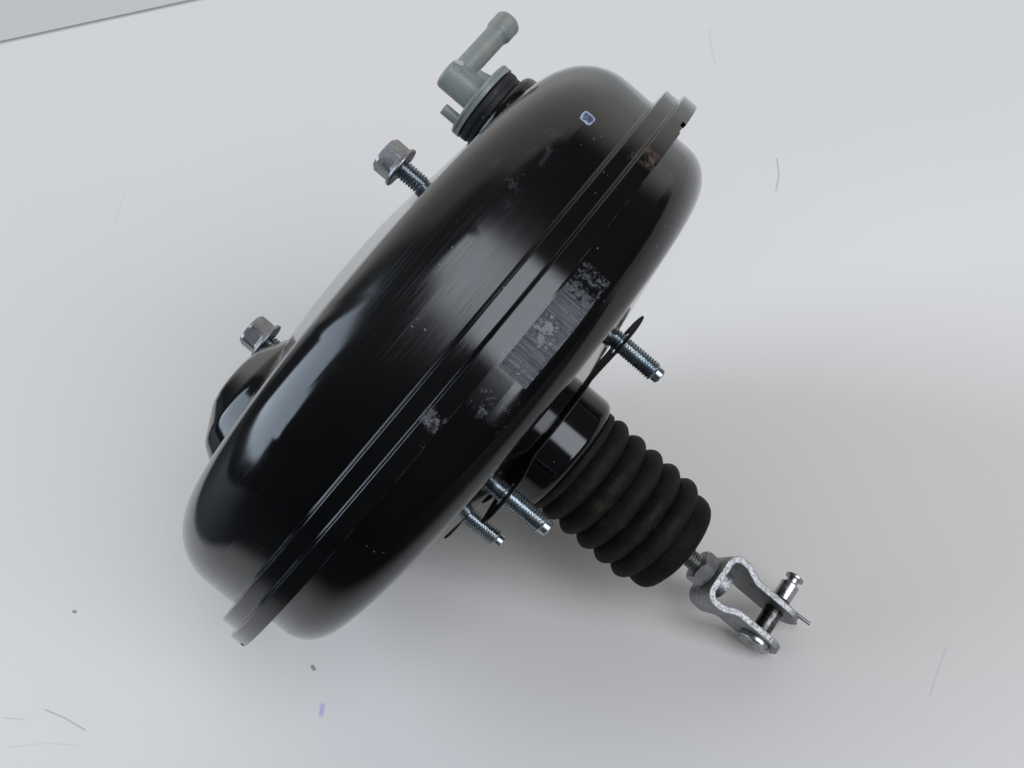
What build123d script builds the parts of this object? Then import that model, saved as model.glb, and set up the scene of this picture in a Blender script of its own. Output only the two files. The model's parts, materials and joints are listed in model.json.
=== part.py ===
from build123d import *
import os
from math import cos, radians, sin, tan

# Vacuum brake booster: two pressed steel shells with a power piston and valve inside.
# Lengths are millimetres. The origin is the centre of the four firewall studs on the rear
# mounting face. +X runs back along the input rod to the pedal and +Z is up.

os.makedirs("parts", exist_ok=True)

# Shared fits
wall = 1.8
running_gap = 0.08
slide_gap = 0.3
seat_gap = 0.1
cut_over = 2.0
points_per_turn = 12

# Rim, where the two shells are locked together
rim_radius = 135.0
rim_setback = 32.0
skirt_length = 5.8
band_step = 2.7
band_length = 5.6
rim_step = 0.7
rim_bend = 0.6

# Front shell
dome_step = 6.8
front_depth = 91.0
front_pad_radius = 50.0
front_cone_angle = 10.0
front_shoulder = 24.0
shoulder_room_share = 0.95
front_pad_bend = 12.0
spigot_radius = 20.5
spigot_depth = 10.0
rod_hole_radius = 13.0
lock_count = 6
lock_start = 147.0
lock_width = 9.0
lock_depth = 3.2
lock_reach = 5.0
lobe_radius = 27.0
lobe_height = 8.6
lobe_offset = 61.0
lobe_bend = 8.0
lobe_crown_share = 0.45
lobe_round_share = 0.6

# Rear shell
rear_step = 10.3
rear_pad_radius = 58.0
rear_cone_angle = 10.7
rear_shoulder = 14.0
hub_radius = 27.2
hub_length = 22.0
hub_mouth_radius = 22.3
hub_bend = 4.0
hub_root_bend = 3.0

# Firewall studs, their inner plate and the loose gasket
firewall_stud_y = 66.0
firewall_stud_z = 76.0
stud_radius = 4.0
stud_collar_radius = 4.4
stud_length = 26.0
stud_point = 3.4
stud_point_radius = 3.1
stud_chamfer = 0.5
stud_head_radius = 7.0
stud_head_height = 3.0
plate_thick = 3.0
rear_plate_margin = 7.0
rear_plate_hole = 30.0
stud_hole_gap = 0.15
gasket_thick = 0.6
gasket_standoff = 5.4
gasket_lobe = 13.8
gasket_ring = 37.0
gasket_hub_gap = 0.6
gasket_stud_gap = 1.3
gasket_bend = 4.0

# Master cylinder studs, nuts and inner plate
cylinder_stud_angle = 126.4
cylinder_stud_radius = 46.0
nut_flats = 13.0
nut_height = 9.4
nut_flange_radius = 8.7
nut_flange_height = 1.6
nut_standoff = 11.7
nut_cap = 1.0
nut_chamfer = 1.2
front_plate_radius = 57.0
front_plate_hole = 25.0

# Power piston and its neck
valve_travel = 1.5
neck_radius = 18.5
neck_length = 62.0
neck_wall = 4.0
piston_front = 30.0
reaction_floor = 20.0
piston_hub_radius = 21.0
piston_flange_radius = 34.0
piston_flange_front = 16.0
piston_flange_back = 11.5
piston_taper_back = 4.0
plunger_radius = 6.0
valve_seat_x = 10.0
valve_seat_radius = 12.0
valve_seat_width = 1.2
valve_floor_x = 8.0
valve_head_radius = 8.8
valve_bore_radius = 10.0
valve_bore_x = -2.0
passage_radius = 2.1
passage_front_radius = 18.2

# Reaction disc, output rod and its seat
reaction_radius = 14.4
reaction_thick = 8.0
reaction_clear = 2.2
output_head_thick = 3.2
output_rod_radius = 4.5
output_front = 84.2
output_tip_radius = 3.2
output_tip_length = 3.6
output_tip_flats = 9.0
output_tip_height = 2.4
tip_shank_radius = 2.4
tip_shank_length = 8.0
tip_round_share = 0.7
seat_cup_thick = 1.0
seat_cup_length = 12.0
seat_hole_radius = 7.0
cup_rise_share = 0.8

# Diaphragm and its plate
plate_rim_step = 16.0
plate_wall = 1.4
plate_step_radius = 62.0
plate_step = 2.6
plate_dish = 4.6
plate_rim_turn = 8.0
rubber_wall = 1.5
bead_width = 5.9

# Main return spring
main_wire = 1.9
main_small_radius = 24.2
main_large_radius = 35.0
main_turns = 5

# Hub seal and guide bush
bush_front = 1.0
bush_back = 7.6
seal_back = 17.6
seal_groove = 1.6

# Front seal
front_seal_length = 7.0
front_seal_waist = 9.0
front_seal_radius = 16.0
front_seal_lip = 2.6

# Input rod
rod_radius = 3.9
rod_thread_radius = 4.0
rod_ball_radius = 4.8
rod_ball_x = 2.0
rod_thread_start = 74.0
rod_end = 106.6
rod_neck_radius = 3.2
collar_x = 42.0
collar_radius = 7.2
collar_thick = 1.4

# Poppet valve and its springs
plunger_waist = 4.0
socket_radius = 5.1
socket_mouth = 4.55
socket_flare = 7.4
poppet_inner_radius = 6.6
poppet_face = 2.6
poppet_bead_length = 3.6
poppet_back = 26.0
poppet_skin = 1.2
retainer_thick = 1.0
retainer_length = 5.0
poppet_wire = 0.55
poppet_spring_radius = 9.4
poppet_turns = 3
rod_wire = 0.8
rod_spring_large = 11.0
rod_spring_small = 6.2
rod_spring_turns = 4

# Stop key
key_thick = 2.6
key_width = 13.4
key_x = -9.2
key_room = 0.2
key_top = 7.0
key_reach = 32.0
key_neck_radius = 4.0

# Air filter and silencer
filter_front = 46.0
filter_back = 57.0
silencer_back = 61.0
filter_bore = 4.6

# Dust boot
boot_wall = 1.5
boot_crest_radius = 25.0
boot_groove_radius = 21.0
boot_end_radius = 22.3
boot_first_crest = 30.0
boot_pitch = 9.2
boot_crests = 5
boot_end = 83.0
boot_collar_radius = 24.3
boot_collar_length = 3.0
boot_bead_radius = 23.2
boot_bead_length = 3.0
boot_bend = 1.9
boot_end_bend = 4.5
boot_hole_radius = 4.3

# Clevis, lock nut, pin and clip
pin_angle = 92.0
clevis_wall = 2.9
clevis_base_x = 99.0
clevis_gap = 12.0
clevis_bulge = 10.3
clevis_bulge_back = 106.5
clevis_ear_start = 113.0
clevis_width = 20.0
clevis_bend = 4.0
clevis_neck_bend = 6.0
clevis_boss_radius = 5.8
clevis_boss_length = 5.4
pin_x = 129.0
pin_radius = 4.0
pin_head_radius = 7.2
pin_head_thick = 2.2
pin_tip = 24.0
pin_cap_radius = 3.9
pin_cap_length = 1.8
pin_waist_radius = 2.4
pin_waist_length = 2.2
pin_end_chamfer = 1.0
pin_groove_radius = 3.0
lock_nut_height = 6.4
lock_nut_chamfer = 0.9
clip_wire = 0.75
clip_loop_x = 116.0
clip_loop_radius = 3.0
clip_end_x = 143.0
clip_flare = 2.6
clip_flare_length = 6.0

# Vacuum port: boss, grommet and check valve elbow
port_angle = 122.0
port_radius = 84.8
boss_rise = 0.4
boss_top_radius = 18.5
boss_draft = 8.0
boss_bend = 3.0
grommet_radius = 15.6
grommet_height = 5.6
grommet_hole = 8.2
grommet_throat = 10.4
grommet_bead_radius = 12.6
grommet_bead_length = 4.0
grommet_waist = 0.5
elbow_flange_radius = 16.0
elbow_flange_thick = 3.2
elbow_body_radius = 6.4
elbow_body_length = 15.8
elbow_spigot_length = 12.6
elbow_wall = 1.6
elbow_end_bend = 1.5
pipe_angle = 94.5
pipe_height = 11.1
pipe_radius = 4.5
pipe_bore = 3.1
pipe_reach = 33.8
barb_radius = 5.3
barb_length = 7.0
barb_taper = 2.2
peg_radius = 2.25
peg_length = 7.9
peg_offset = 11.3
gusset_thick = 2.4
gusset_reach = 4.6
check_disc_radius = 4.3
check_disc_thick = 1.6
check_seat_radius = 3.0
check_seat_depth = 4.0
check_wire = 0.4
check_spring_radius = 3.6
check_turns = 4
check_cage_thick = 1.0
chamber_end_share = 0.6

# Planes and axes of the off-centre pieces
cylinder_out = (0, cos(radians(cylinder_stud_angle)), sin(radians(cylinder_stud_angle)))
port_out = (0, cos(radians(port_angle)), sin(radians(port_angle)))
port_side = (0, -sin(radians(port_angle)), cos(radians(port_angle)))
port_origin = tuple(port_radius * part for part in port_out)
port_plane = Plane(origin=port_origin, x_dir=(1, 0, 0), z_dir=port_side)
port_axis = Axis(port_origin, (1, 0, 0))
pipe_out = (0, cos(radians(pipe_angle)), sin(radians(pipe_angle)))
pipe_side = (0, -sin(radians(pipe_angle)), cos(radians(pipe_angle)))
web_plane = Plane(origin=port_origin, x_dir=(1, 0, 0), z_dir=pipe_side)
pin_out = (0, cos(radians(pin_angle)), sin(radians(pin_angle)))
pin_side = (0, -sin(radians(pin_angle)), cos(radians(pin_angle)))
clevis_plane = Plane(origin=(0, 0, 0), x_dir=(1, 0, 0), z_dir=pin_side)
pin_origin = (pin_x, 0, 0)
pin_plane = Plane(origin=pin_origin, x_dir=(1, 0, 0), z_dir=pin_out)
pin_axis = Axis(pin_origin, pin_out)


def half_section(points, plane=Plane.XY):
    """Closed half section given as (distance along the axis, radius) points."""
    with BuildSketch(plane) as section:
        with BuildLine():
            Polyline(*points, close=True)
        make_face()
    return section.sketch


def tube_section(front, back, inner, outer, plane=Plane.XY):
    """Half section of a plain ring or disc."""
    return half_section([(front, inner), (back, inner), (back, outer), (front, outer)], plane)


def sheet_section(points, radii, thick, side=Side.LEFT):
    """Half section of pressed sheet: the outer line with its bends, thickened inwards."""
    with BuildSketch(Plane.XY) as section:
        with BuildLine() as line:
            FilletPolyline(*points, radius=radii)
            offset(amount=thick, side=side)
        make_face()
    return section.sketch


def coil(start, end, start_radius, end_radius, turns, plane):
    """Points along the middle of a spring's wire, from one radius to the other."""
    rise = end - start
    steps = points_per_turn * turns
    points = []
    for step in range(steps + 1):
        share = step / steps
        angle = radians(360 * turns * share)
        radius = start_radius + (end_radius - start_radius) * share
        spot = (start + rise * share, radius * cos(angle), radius * sin(angle))
        points.append(plane.from_local_coords(spot))
    return points


# Derived radii, each a step in from the rim
band_radius = rim_radius - band_step
dome_radius = band_radius - dome_step
rear_radius = band_radius - rear_step
bead_outer = band_radius - wall - slide_gap
bead_inner = bead_outer - bead_width
plate_rim_radius = rear_radius - plate_rim_step

# Derived places, all measured along X
rim_back = -rim_setback
skirt_front = rim_back - skirt_length
band_back = skirt_front - rim_step
band_front = band_back - band_length
dome_back = band_front - rim_step
front_face = -front_depth
front_slope = tan(radians(front_cone_angle))
front_corner = front_face + (dome_radius - front_pad_radius) * front_slope
shoulder_room = (dome_back - front_corner) / tan(radians(45 - front_cone_angle / 2))
shoulder_bend = min(front_shoulder, shoulder_room * shoulder_room_share)
spigot_floor = front_face + spigot_depth
front_inside = front_face + wall
rear_slope = tan(radians(rear_cone_angle))
rear_corner = -(rear_radius - rear_pad_radius) * rear_slope
flange_front = skirt_front + wall + seat_gap
flange_radius = rim_radius - wall - seat_gap
lock_x = flange_front + wall + seat_gap
flange_back = flange_front + wall
hub_bore = hub_radius - wall
hub_lip = hub_length - wall
front_plate_back = front_inside + plate_thick
rear_plate_back = -wall
rear_plate_front = rear_plate_back - plate_thick
stud_clear = stud_collar_radius + stud_hole_gap
nut_base = front_face - nut_standoff
nut_top = nut_base - nut_height
hex_scale = 1 / cos(radians(30))
port_hole = grommet_throat + seat_gap
boss_seat_radius = max(port_radius - grommet_radius, front_pad_radius)
boss_top = front_face + (boss_seat_radius - front_pad_radius) * front_slope - boss_rise
boss_spread = tan(radians(boss_draft))
lobe_top = front_face - lobe_height

# Solid core that follows the middle of the front wall, used to trim the pressed bosses
half_wall = wall / 2
core_slant = half_wall / cos(radians(front_cone_angle))
core_radius = dome_radius - half_wall
core_corner = front_corner - half_wall * front_slope + core_slant
core_face = front_face + half_wall
with BuildPart() as front_core:
    with BuildSketch(Plane.XY):
        with BuildLine():
            core_line = FilletPolyline(
                (rim_back, core_radius),
                (core_corner, core_radius),
                (core_face, front_pad_radius),
                (core_face, 0),
                radius=[shoulder_bend - half_wall, front_pad_bend - half_wall],
            )
            Polyline(core_line @ 1, (rim_back, 0), core_line @ 0)
        make_face()
    revolve(axis=Axis.X)

# Round boss under the vacuum port: its outside, and its hollow one wall thickness in
boss_depth = front_face - boss_top + shoulder_bend
with BuildPart() as boss_outside:
    boss_base = boss_top_radius + boss_depth * boss_spread
    boss_outline = [
        (boss_top, 0),
        (boss_top, boss_top_radius),
        (boss_top + boss_depth, boss_base),
        (boss_top + boss_depth, 0),
    ]
    revolve(half_section(boss_outline, port_plane), axis=port_axis)
    fillet(boss_outside.edges().group_by(Axis.X)[0], boss_bend)
    add(front_core.part, mode=Mode.SUBTRACT)
with BuildPart() as boss_hollow:
    hollow_top = boss_top + wall
    hollow_radius = boss_top_radius - wall
    hollow_base = hollow_radius + boss_depth * boss_spread
    hollow_outline = [
        (hollow_top, 0),
        (hollow_top, hollow_radius),
        (hollow_top + boss_depth, hollow_base),
        (hollow_top + boss_depth, 0),
    ]
    revolve(half_section(hollow_outline, port_plane), axis=port_axis)
    fillet(boss_hollow.edges().group_by(Axis.X)[0], boss_bend - wall / 2)

# Broad round lobe pressed into the lower part of the front face
lobe_origin = (0, 0, -lobe_offset)
lobe_plane = Plane(origin=lobe_origin, x_dir=(1, 0, 0), z_dir=(0, -1, 0))
lobe_axis = Axis(lobe_origin, (1, 0, 0))
lobe_depth = lobe_height + shoulder_bend / 2
lobe_crown = lobe_radius * lobe_crown_share
lobe_round = lobe_radius * lobe_round_share
with BuildPart() as lobe_outside:
    with BuildSketch(lobe_plane):
        with BuildLine():
            lobe_line = FilletPolyline(
                (lobe_top, 0),
                (lobe_top, lobe_crown),
                (front_face, lobe_radius),
                (lobe_top + lobe_depth, lobe_radius + lobe_bend),
                radius=[lobe_round, lobe_bend],
            )
            Polyline(lobe_line @ 1, (lobe_top + lobe_depth, 0), lobe_line @ 0)
        make_face()
    revolve(axis=lobe_axis)
    add(front_core.part, mode=Mode.SUBTRACT)
with BuildPart() as lobe_hollow:
    with BuildSketch(lobe_plane):
        with BuildLine():
            hollow_line = FilletPolyline(
                (lobe_top + wall, 0),
                (lobe_top + wall, lobe_crown - wall),
                (front_face + wall, lobe_radius - wall),
                (lobe_top + lobe_depth + wall, lobe_radius + lobe_bend - wall),
                radius=[lobe_round, lobe_bend],
            )
            Polyline(hollow_line @ 1, (lobe_top + lobe_depth + wall, 0), hollow_line @ 0)
        make_face()
    revolve(axis=lobe_axis)

# Front shell: skirt, bead band, dome, shoulder and face pressed from one sheet
with BuildPart() as front_shell:
    front_line = [
        (rim_back, rim_radius),
        (skirt_front, rim_radius),
        (band_back, band_radius),
        (band_front, band_radius),
        (dome_back, dome_radius),
        (front_corner, dome_radius),
        (front_face, front_pad_radius),
        (front_face, spigot_radius),
        (spigot_floor, spigot_radius),
        (spigot_floor, rod_hole_radius),
    ]
    front_bends = [rim_bend] * 4 + [shoulder_bend, front_pad_bend, wall + rim_bend, rim_bend]
    revolve(sheet_section(front_line, front_bends, wall), axis=Axis.X)
    add(boss_outside.part)
    add(boss_hollow.part, mode=Mode.SUBTRACT)
    add(lobe_outside.part)
    add(lobe_hollow.part, mode=Mode.SUBTRACT)
    # Holes for the grommet and the two master cylinder studs
    with BuildSketch(Plane.YZ.offset(boss_top - cut_over)):
        with PolarLocations(port_radius, 1, start_angle=port_angle):
            Circle(port_hole)
    extrude(amount=wall + 2 * cut_over, mode=Mode.SUBTRACT)
    with BuildSketch(Plane.YZ.offset(front_face - cut_over)):
        with PolarLocations(cylinder_stud_radius, 2, start_angle=cylinder_stud_angle):
            Circle(stud_clear)
    extrude(amount=wall + 2 * cut_over, mode=Mode.SUBTRACT)
    # Lances in the skirt, each a notch with its tab folded in behind the rear shell's flange
    tab_radius = rim_radius - lock_reach
    tab_top = rim_radius - wall / 2
    with BuildSketch(Plane.YZ.offset(rim_back)):
        with PolarLocations((rim_radius + tab_radius) / 2, lock_count, start_angle=lock_start):
            Rectangle(lock_reach + 2 * wall, lock_width)
    extrude(amount=-lock_depth / 2, mode=Mode.SUBTRACT)
    with BuildSketch(Plane.YZ.offset(lock_x)):
        with PolarLocations((tab_top + tab_radius) / 2, lock_count, start_angle=lock_start):
            Rectangle(tab_top - tab_radius, lock_width - 2 * rim_bend)
    extrude(amount=lock_depth / 2)
front_shell.part.label = "front_shell"
export_step(front_shell.part, "parts/front_shell.step")

# Rear shell: flange, wall, shoulder, flat mounting pad and hub
with BuildPart() as rear_shell:
    rear_line = [
        (flange_back, flange_radius),
        (flange_back, rear_radius),
        (rear_corner, rear_radius),
        (0, rear_pad_radius),
        (0, hub_radius),
        (hub_length, hub_radius),
        (hub_length, hub_mouth_radius),
    ]
    rear_bends = [wall + rim_bend, rear_shoulder, hub_bend + wall, hub_root_bend, hub_bend]
    revolve(sheet_section(rear_line, rear_bends, wall, Side.RIGHT), axis=Axis.X)
    with BuildSketch(Plane.YZ.offset(-wall - cut_over)):
        with GridLocations(firewall_stud_y, firewall_stud_z, 2, 2):
            Circle(stud_clear)
    extrude(amount=wall + 2 * cut_over, mode=Mode.SUBTRACT)
rear_shell.part.label = "rear_shell"
export_step(rear_shell.part, "parts/rear_shell.step")

# Plate inside the rear shell that the firewall studs are pressed into
with BuildPart() as rear_stud_plate:
    with BuildSketch(Plane.YZ.offset(rear_plate_front)):
        RectangleRounded(
            firewall_stud_y + 2 * rear_plate_margin,
            firewall_stud_z + 2 * rear_plate_margin,
            rear_plate_margin,
        )
        Circle(rear_plate_hole, mode=Mode.SUBTRACT)
        with GridLocations(firewall_stud_y, firewall_stud_z, 2, 2):
            Circle(stud_clear, mode=Mode.SUBTRACT)
    extrude(amount=plate_thick)
rear_stud_plate.part.label = "rear_stud_plate"
export_step(rear_stud_plate.part, "parts/rear_stud_plate.step")

# Four firewall studs: head inside, collar through the sheet, thread and dog point outside
with BuildPart() as firewall_stud:
    stud_outline = [
        (rear_plate_front - stud_head_height, 0),
        (rear_plate_front - stud_head_height, stud_head_radius),
        (rear_plate_front, stud_head_radius),
        (rear_plate_front, stud_collar_radius),
        (0, stud_collar_radius),
        (0, stud_radius),
        (stud_length - stud_point, stud_radius),
        (stud_length - stud_point + stud_chamfer, stud_point_radius),
        (stud_length - stud_chamfer, stud_point_radius),
        (stud_length, stud_point_radius - stud_chamfer),
        (stud_length, 0),
    ]
    revolve(half_section(stud_outline), axis=Axis.X)
firewall_spots = [
    (0, y * firewall_stud_y / 2, z * firewall_stud_z / 2)
    for y in (-1, 1)
    for z in (-1, 1)
]
with BuildPart() as firewall_studs:
    with Locations(*firewall_spots):
        add(firewall_stud.part)
firewall_studs.part.label = "firewall_studs"
export_step(firewall_studs.part, "parts/firewall_studs.step")

# Thin gasket that hangs loose on the firewall studs
with BuildPart() as firewall_gasket:
    with BuildSketch(Plane.YZ.offset(gasket_standoff)):
        Circle(gasket_ring)
        with GridLocations(firewall_stud_y, firewall_stud_z, 2, 2):
            Circle(gasket_lobe)
        fillet(vertices(), gasket_bend)
        Circle(hub_radius + gasket_hub_gap, mode=Mode.SUBTRACT)
        with GridLocations(firewall_stud_y, firewall_stud_z, 2, 2):
            Circle(stud_radius + gasket_stud_gap, mode=Mode.SUBTRACT)
    extrude(amount=gasket_thick)
firewall_gasket.part.label = "firewall_gasket"
export_step(firewall_gasket.part, "parts/firewall_gasket.step")

# Plate inside the front shell that the master cylinder studs are pressed into
front_plate_flat = front_pad_radius - wall
front_plate_edge = front_inside + (front_plate_radius - front_plate_flat) * front_slope + seat_gap
with BuildPart() as front_stud_plate:
    front_plate_outline = [
        (front_inside, front_plate_hole),
        (front_inside, front_plate_flat),
        (front_plate_edge, front_plate_radius),
        (front_plate_back, front_plate_radius),
        (front_plate_back, front_plate_hole),
    ]
    revolve(half_section(front_plate_outline), axis=Axis.X)
    with BuildSketch(Plane.YZ.offset(front_inside - cut_over)):
        with PolarLocations(cylinder_stud_radius, 2, start_angle=cylinder_stud_angle):
            Circle(stud_clear)
    extrude(amount=plate_thick + 2 * cut_over, mode=Mode.SUBTRACT)
front_stud_plate.part.label = "front_stud_plate"
export_step(front_stud_plate.part, "parts/front_stud_plate.step")

# Two master cylinder studs and their flange nuts
stud_spots = [
    tuple(side * cylinder_stud_radius * part for part in cylinder_out)
    for side in (-1, 1)
]
with BuildPart() as cylinder_stud:
    cylinder_outline = [
        (front_plate_back + stud_head_height, 0),
        (front_plate_back + stud_head_height, stud_head_radius),
        (front_plate_back, stud_head_radius),
        (front_plate_back, stud_collar_radius),
        (front_face, stud_collar_radius),
        (front_face, stud_radius),
        (nut_top + nut_cap + stud_chamfer, stud_radius),
        (nut_top + nut_cap, stud_radius - stud_chamfer),
        (nut_top + nut_cap, 0),
    ]
    revolve(half_section(cylinder_outline), axis=Axis.X)
with BuildPart() as cylinder_studs:
    with Locations(*stud_spots):
        add(cylinder_stud.part)
cylinder_studs.part.label = "cylinder_studs"
export_step(cylinder_studs.part, "parts/cylinder_studs.step")

with BuildPart() as cylinder_nut:
    with BuildSketch(Plane.YZ.offset(nut_top)):
        RegularPolygon(nut_flats / 2 * hex_scale, 6)
    extrude(amount=nut_height)
    nut_corner = nut_flats / 2 * hex_scale
    nut_outline = [
        (nut_top, 0),
        (nut_top, nut_corner - nut_chamfer),
        (nut_top + nut_chamfer, nut_corner),
        (nut_base, nut_corner),
        (nut_base, 0),
    ]
    revolve(half_section(nut_outline), axis=Axis.X, mode=Mode.INTERSECT)
    nut_flange_outline = [
        (nut_base - nut_flange_height, 0),
        (nut_base - nut_flange_height - nut_flange_height / 2, nut_flats / 2),
        (nut_base - nut_flange_height, nut_flange_radius),
        (nut_base, nut_flange_radius),
        (nut_base, 0),
    ]
    revolve(half_section(nut_flange_outline), axis=Axis.X)
    nut_bore = tube_section(nut_top + nut_cap - seat_gap, nut_base, 0, stud_radius + seat_gap)
    revolve(nut_bore, axis=Axis.X, mode=Mode.SUBTRACT)
with BuildPart() as cylinder_nuts:
    with Locations(*stud_spots):
        add(cylinder_nut.part)
cylinder_nuts.part.label = "cylinder_nuts"
export_step(cylinder_nuts.part, "parts/cylinder_nuts.step")

# Seal round the output rod, sprung over the edge of the hole in the spigot recess
front_seal_bore = output_rod_radius + slide_gap
spigot_inside = spigot_floor + wall
with BuildPart() as front_seal:
    front_seal_outline = [
        (spigot_floor - seat_gap - front_seal_lip, front_seal_bore),
        (spigot_floor - seat_gap - front_seal_lip, front_seal_radius - front_seal_lip / 2),
        (spigot_floor - seat_gap, front_seal_radius),
        (spigot_floor - seat_gap, rod_hole_radius - seat_gap),
        (spigot_inside + seat_gap, rod_hole_radius - seat_gap),
        (spigot_inside + seat_gap, front_seal_radius),
        (spigot_inside + seat_gap + front_seal_lip, front_seal_radius),
        (spigot_inside + front_seal_length, front_seal_waist),
        (spigot_inside + front_seal_length, front_seal_bore),
        (spigot_inside + front_seal_length - front_seal_lip, front_seal_bore),
        (spigot_inside + front_seal_lip, front_seal_bore + front_seal_lip),
        (spigot_inside, front_seal_bore),
    ]
    revolve(half_section(front_seal_outline), axis=Axis.X)
front_seal.part.label = "front_seal"
export_step(front_seal.part, "parts/front_seal.step")

# Guide bush and lip seal in the hub
slide_radius = neck_radius + slide_gap
with BuildPart() as guide_bush:
    revolve(tube_section(bush_front, bush_back, slide_radius, hub_bore - seat_gap), axis=Axis.X)
    chamfer(guide_bush.edges().group_by(Axis.X)[0].sort_by(SortBy.RADIUS)[-1], wall)
guide_bush.part.label = "guide_bush"
export_step(guide_bush.part, "parts/guide_bush.step")

with BuildPart() as hub_seal:
    seal_front = bush_back + seat_gap
    seal_outer = hub_bore - seat_gap
    seal_middle = (slide_radius + seal_outer) / 2
    seal_outline = [
        (seal_front, slide_radius),
        (seal_front, seal_middle - seal_groove),
        (seal_back - 2 * seal_groove, seal_middle - seal_groove / 2),
        (seal_back - 2 * seal_groove, seal_middle + seal_groove / 2),
        (seal_front, seal_middle + seal_groove),
        (seal_front, seal_outer),
        (seal_back - seal_groove, seal_outer),
        (seal_back, seal_outer - seal_groove),
        (seal_back, slide_radius),
    ]
    revolve(half_section(seal_outline), axis=Axis.X)
hub_seal.part.label = "hub_seal"
export_step(hub_seal.part, "parts/hub_seal.step")

# Power piston: front hub, flange and long neck, with the valve bored through it
neck_bore = neck_radius - neck_wall
plunger_bore = plunger_radius + slide_gap
with BuildPart() as power_piston:
    piston_outline = [
        (-piston_front, reaction_radius + seat_gap),
        (-piston_front, piston_hub_radius),
        (-piston_flange_front, piston_hub_radius),
        (-piston_flange_front, piston_flange_radius),
        (-piston_flange_back, piston_flange_radius),
        (-piston_taper_back, neck_radius),
        (neck_length, neck_radius),
        (neck_length, neck_bore),
        (valve_floor_x, neck_bore),
        (valve_floor_x, valve_seat_radius),
        (valve_seat_x, valve_seat_radius),
        (valve_seat_x, valve_seat_radius - valve_seat_width),
        (valve_floor_x, valve_bore_radius),
        (valve_bore_x, valve_bore_radius),
        (valve_bore_x, plunger_bore),
        (-reaction_floor, plunger_bore),
        (-reaction_floor, reaction_radius + seat_gap),
    ]
    revolve(half_section(piston_outline), axis=Axis.X)
    # Two slanted vacuum passages from the valve floor to the front chamber
    passage_rise = passage_front_radius - (valve_seat_radius + neck_bore) / 2
    passage_run = piston_front + valve_floor_x
    for side in (-1, 1):
        passage_start = (-piston_front, side * passage_front_radius, 0)
        passage_way = (passage_run, -side * passage_rise, 0)
        with BuildSketch(Plane(origin=passage_start, z_dir=passage_way)):
            Circle(passage_radius)
        extrude(amount=passage_run + cut_over / 2, mode=Mode.SUBTRACT)
    # Slot for the stop key, open at the underside
    key_slot_reach = piston_flange_radius + cut_over + key_top
    with BuildSketch(Plane.XY.offset(key_top + key_room)):
        with Locations((key_x + key_thick / 2, 0)):
            Rectangle(key_thick + 2 * key_room, key_width + 2 * key_room)
    extrude(amount=-key_slot_reach, mode=Mode.SUBTRACT)
power_piston.part.label = "power_piston"
export_step(power_piston.part, "parts/power_piston.step")

# Forked key that drops through the slot and holds the plunger in the piston
with BuildPart() as stop_key:
    with BuildSketch(Plane.YZ.offset(key_x)):
        with Locations((0, (key_top - key_reach) / 2)):
            Rectangle(key_width, key_top + key_reach)
        fillet(vertices(), key_thick / 2)
        with Locations((0, key_top / 2)):
            Rectangle(2 * (key_neck_radius + slide_gap), key_top, mode=Mode.SUBTRACT)
        Circle(key_neck_radius + slide_gap, mode=Mode.SUBTRACT)
    extrude(amount=key_thick)
stop_key.part.label = "stop_key"
export_step(stop_key.part, "parts/stop_key.step")

# Rubber reaction disc in the front of the piston
with BuildPart() as reaction_disc:
    revolve(tube_section(-reaction_floor - reaction_thick, -reaction_floor, 0, reaction_radius), axis=Axis.X)
reaction_disc.part.label = "reaction_disc"
export_step(reaction_disc.part, "parts/reaction_disc.step")

# Output rod with its broad foot on the reaction disc
rod_foot = -reaction_floor - reaction_thick
rod_foot_front = rod_foot - output_head_thick
with BuildPart() as output_rod:
    output_outline = [
        (rod_foot, 0),
        (rod_foot, reaction_radius),
        (rod_foot_front, reaction_radius),
        (rod_foot_front - output_head_thick, output_rod_radius),
        (-output_front, output_rod_radius),
        (-output_front, tip_shank_radius + seat_gap),
        (-output_front + tip_shank_length + seat_gap, tip_shank_radius + seat_gap),
        (-output_front + tip_shank_length + seat_gap, 0),
    ]
    revolve(half_section(output_outline), axis=Axis.X)
output_rod.part.label = "output_rod"
export_step(output_rod.part, "parts/output_rod.step")

# Screw tip that sets the output rod's length
with BuildPart() as output_tip:
    with BuildSketch(Plane.YZ.offset(-output_front)):
        RegularPolygon(output_tip_flats / 2 * hex_scale, 6)
    extrude(amount=-output_tip_height)
    tip_front = -output_front - output_tip_height
    revolve(tube_section(tip_front - output_tip_length, tip_front, 0, output_tip_radius), axis=Axis.X)
    fillet(output_tip.edges().group_by(Axis.X)[0], output_tip_radius * tip_round_share)
    revolve(tube_section(-output_front, -output_front + tip_shank_length, 0, tip_shank_radius), axis=Axis.X)
output_tip.part.label = "output_tip"
export_step(output_tip.part, "parts/output_tip.step")

# Pressed cup that holds the output rod's foot on the piston
cup_inner = piston_hub_radius + seat_gap
cup_front = rod_foot_front - output_head_thick * cup_rise_share
with BuildPart() as rod_cup:
    cup_outline = [
        (cup_front - seat_cup_thick, seat_hole_radius),
        (cup_front - seat_cup_thick, cup_inner + seat_cup_thick),
        (cup_front + seat_cup_length, cup_inner + seat_cup_thick),
        (cup_front + seat_cup_length, cup_inner),
        (cup_front, cup_inner),
        (cup_front, seat_hole_radius),
    ]
    revolve(half_section(cup_outline), axis=Axis.X)
rod_cup.part.label = "rod_cup"
export_step(rod_cup.part, "parts/rod_cup.step")

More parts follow.
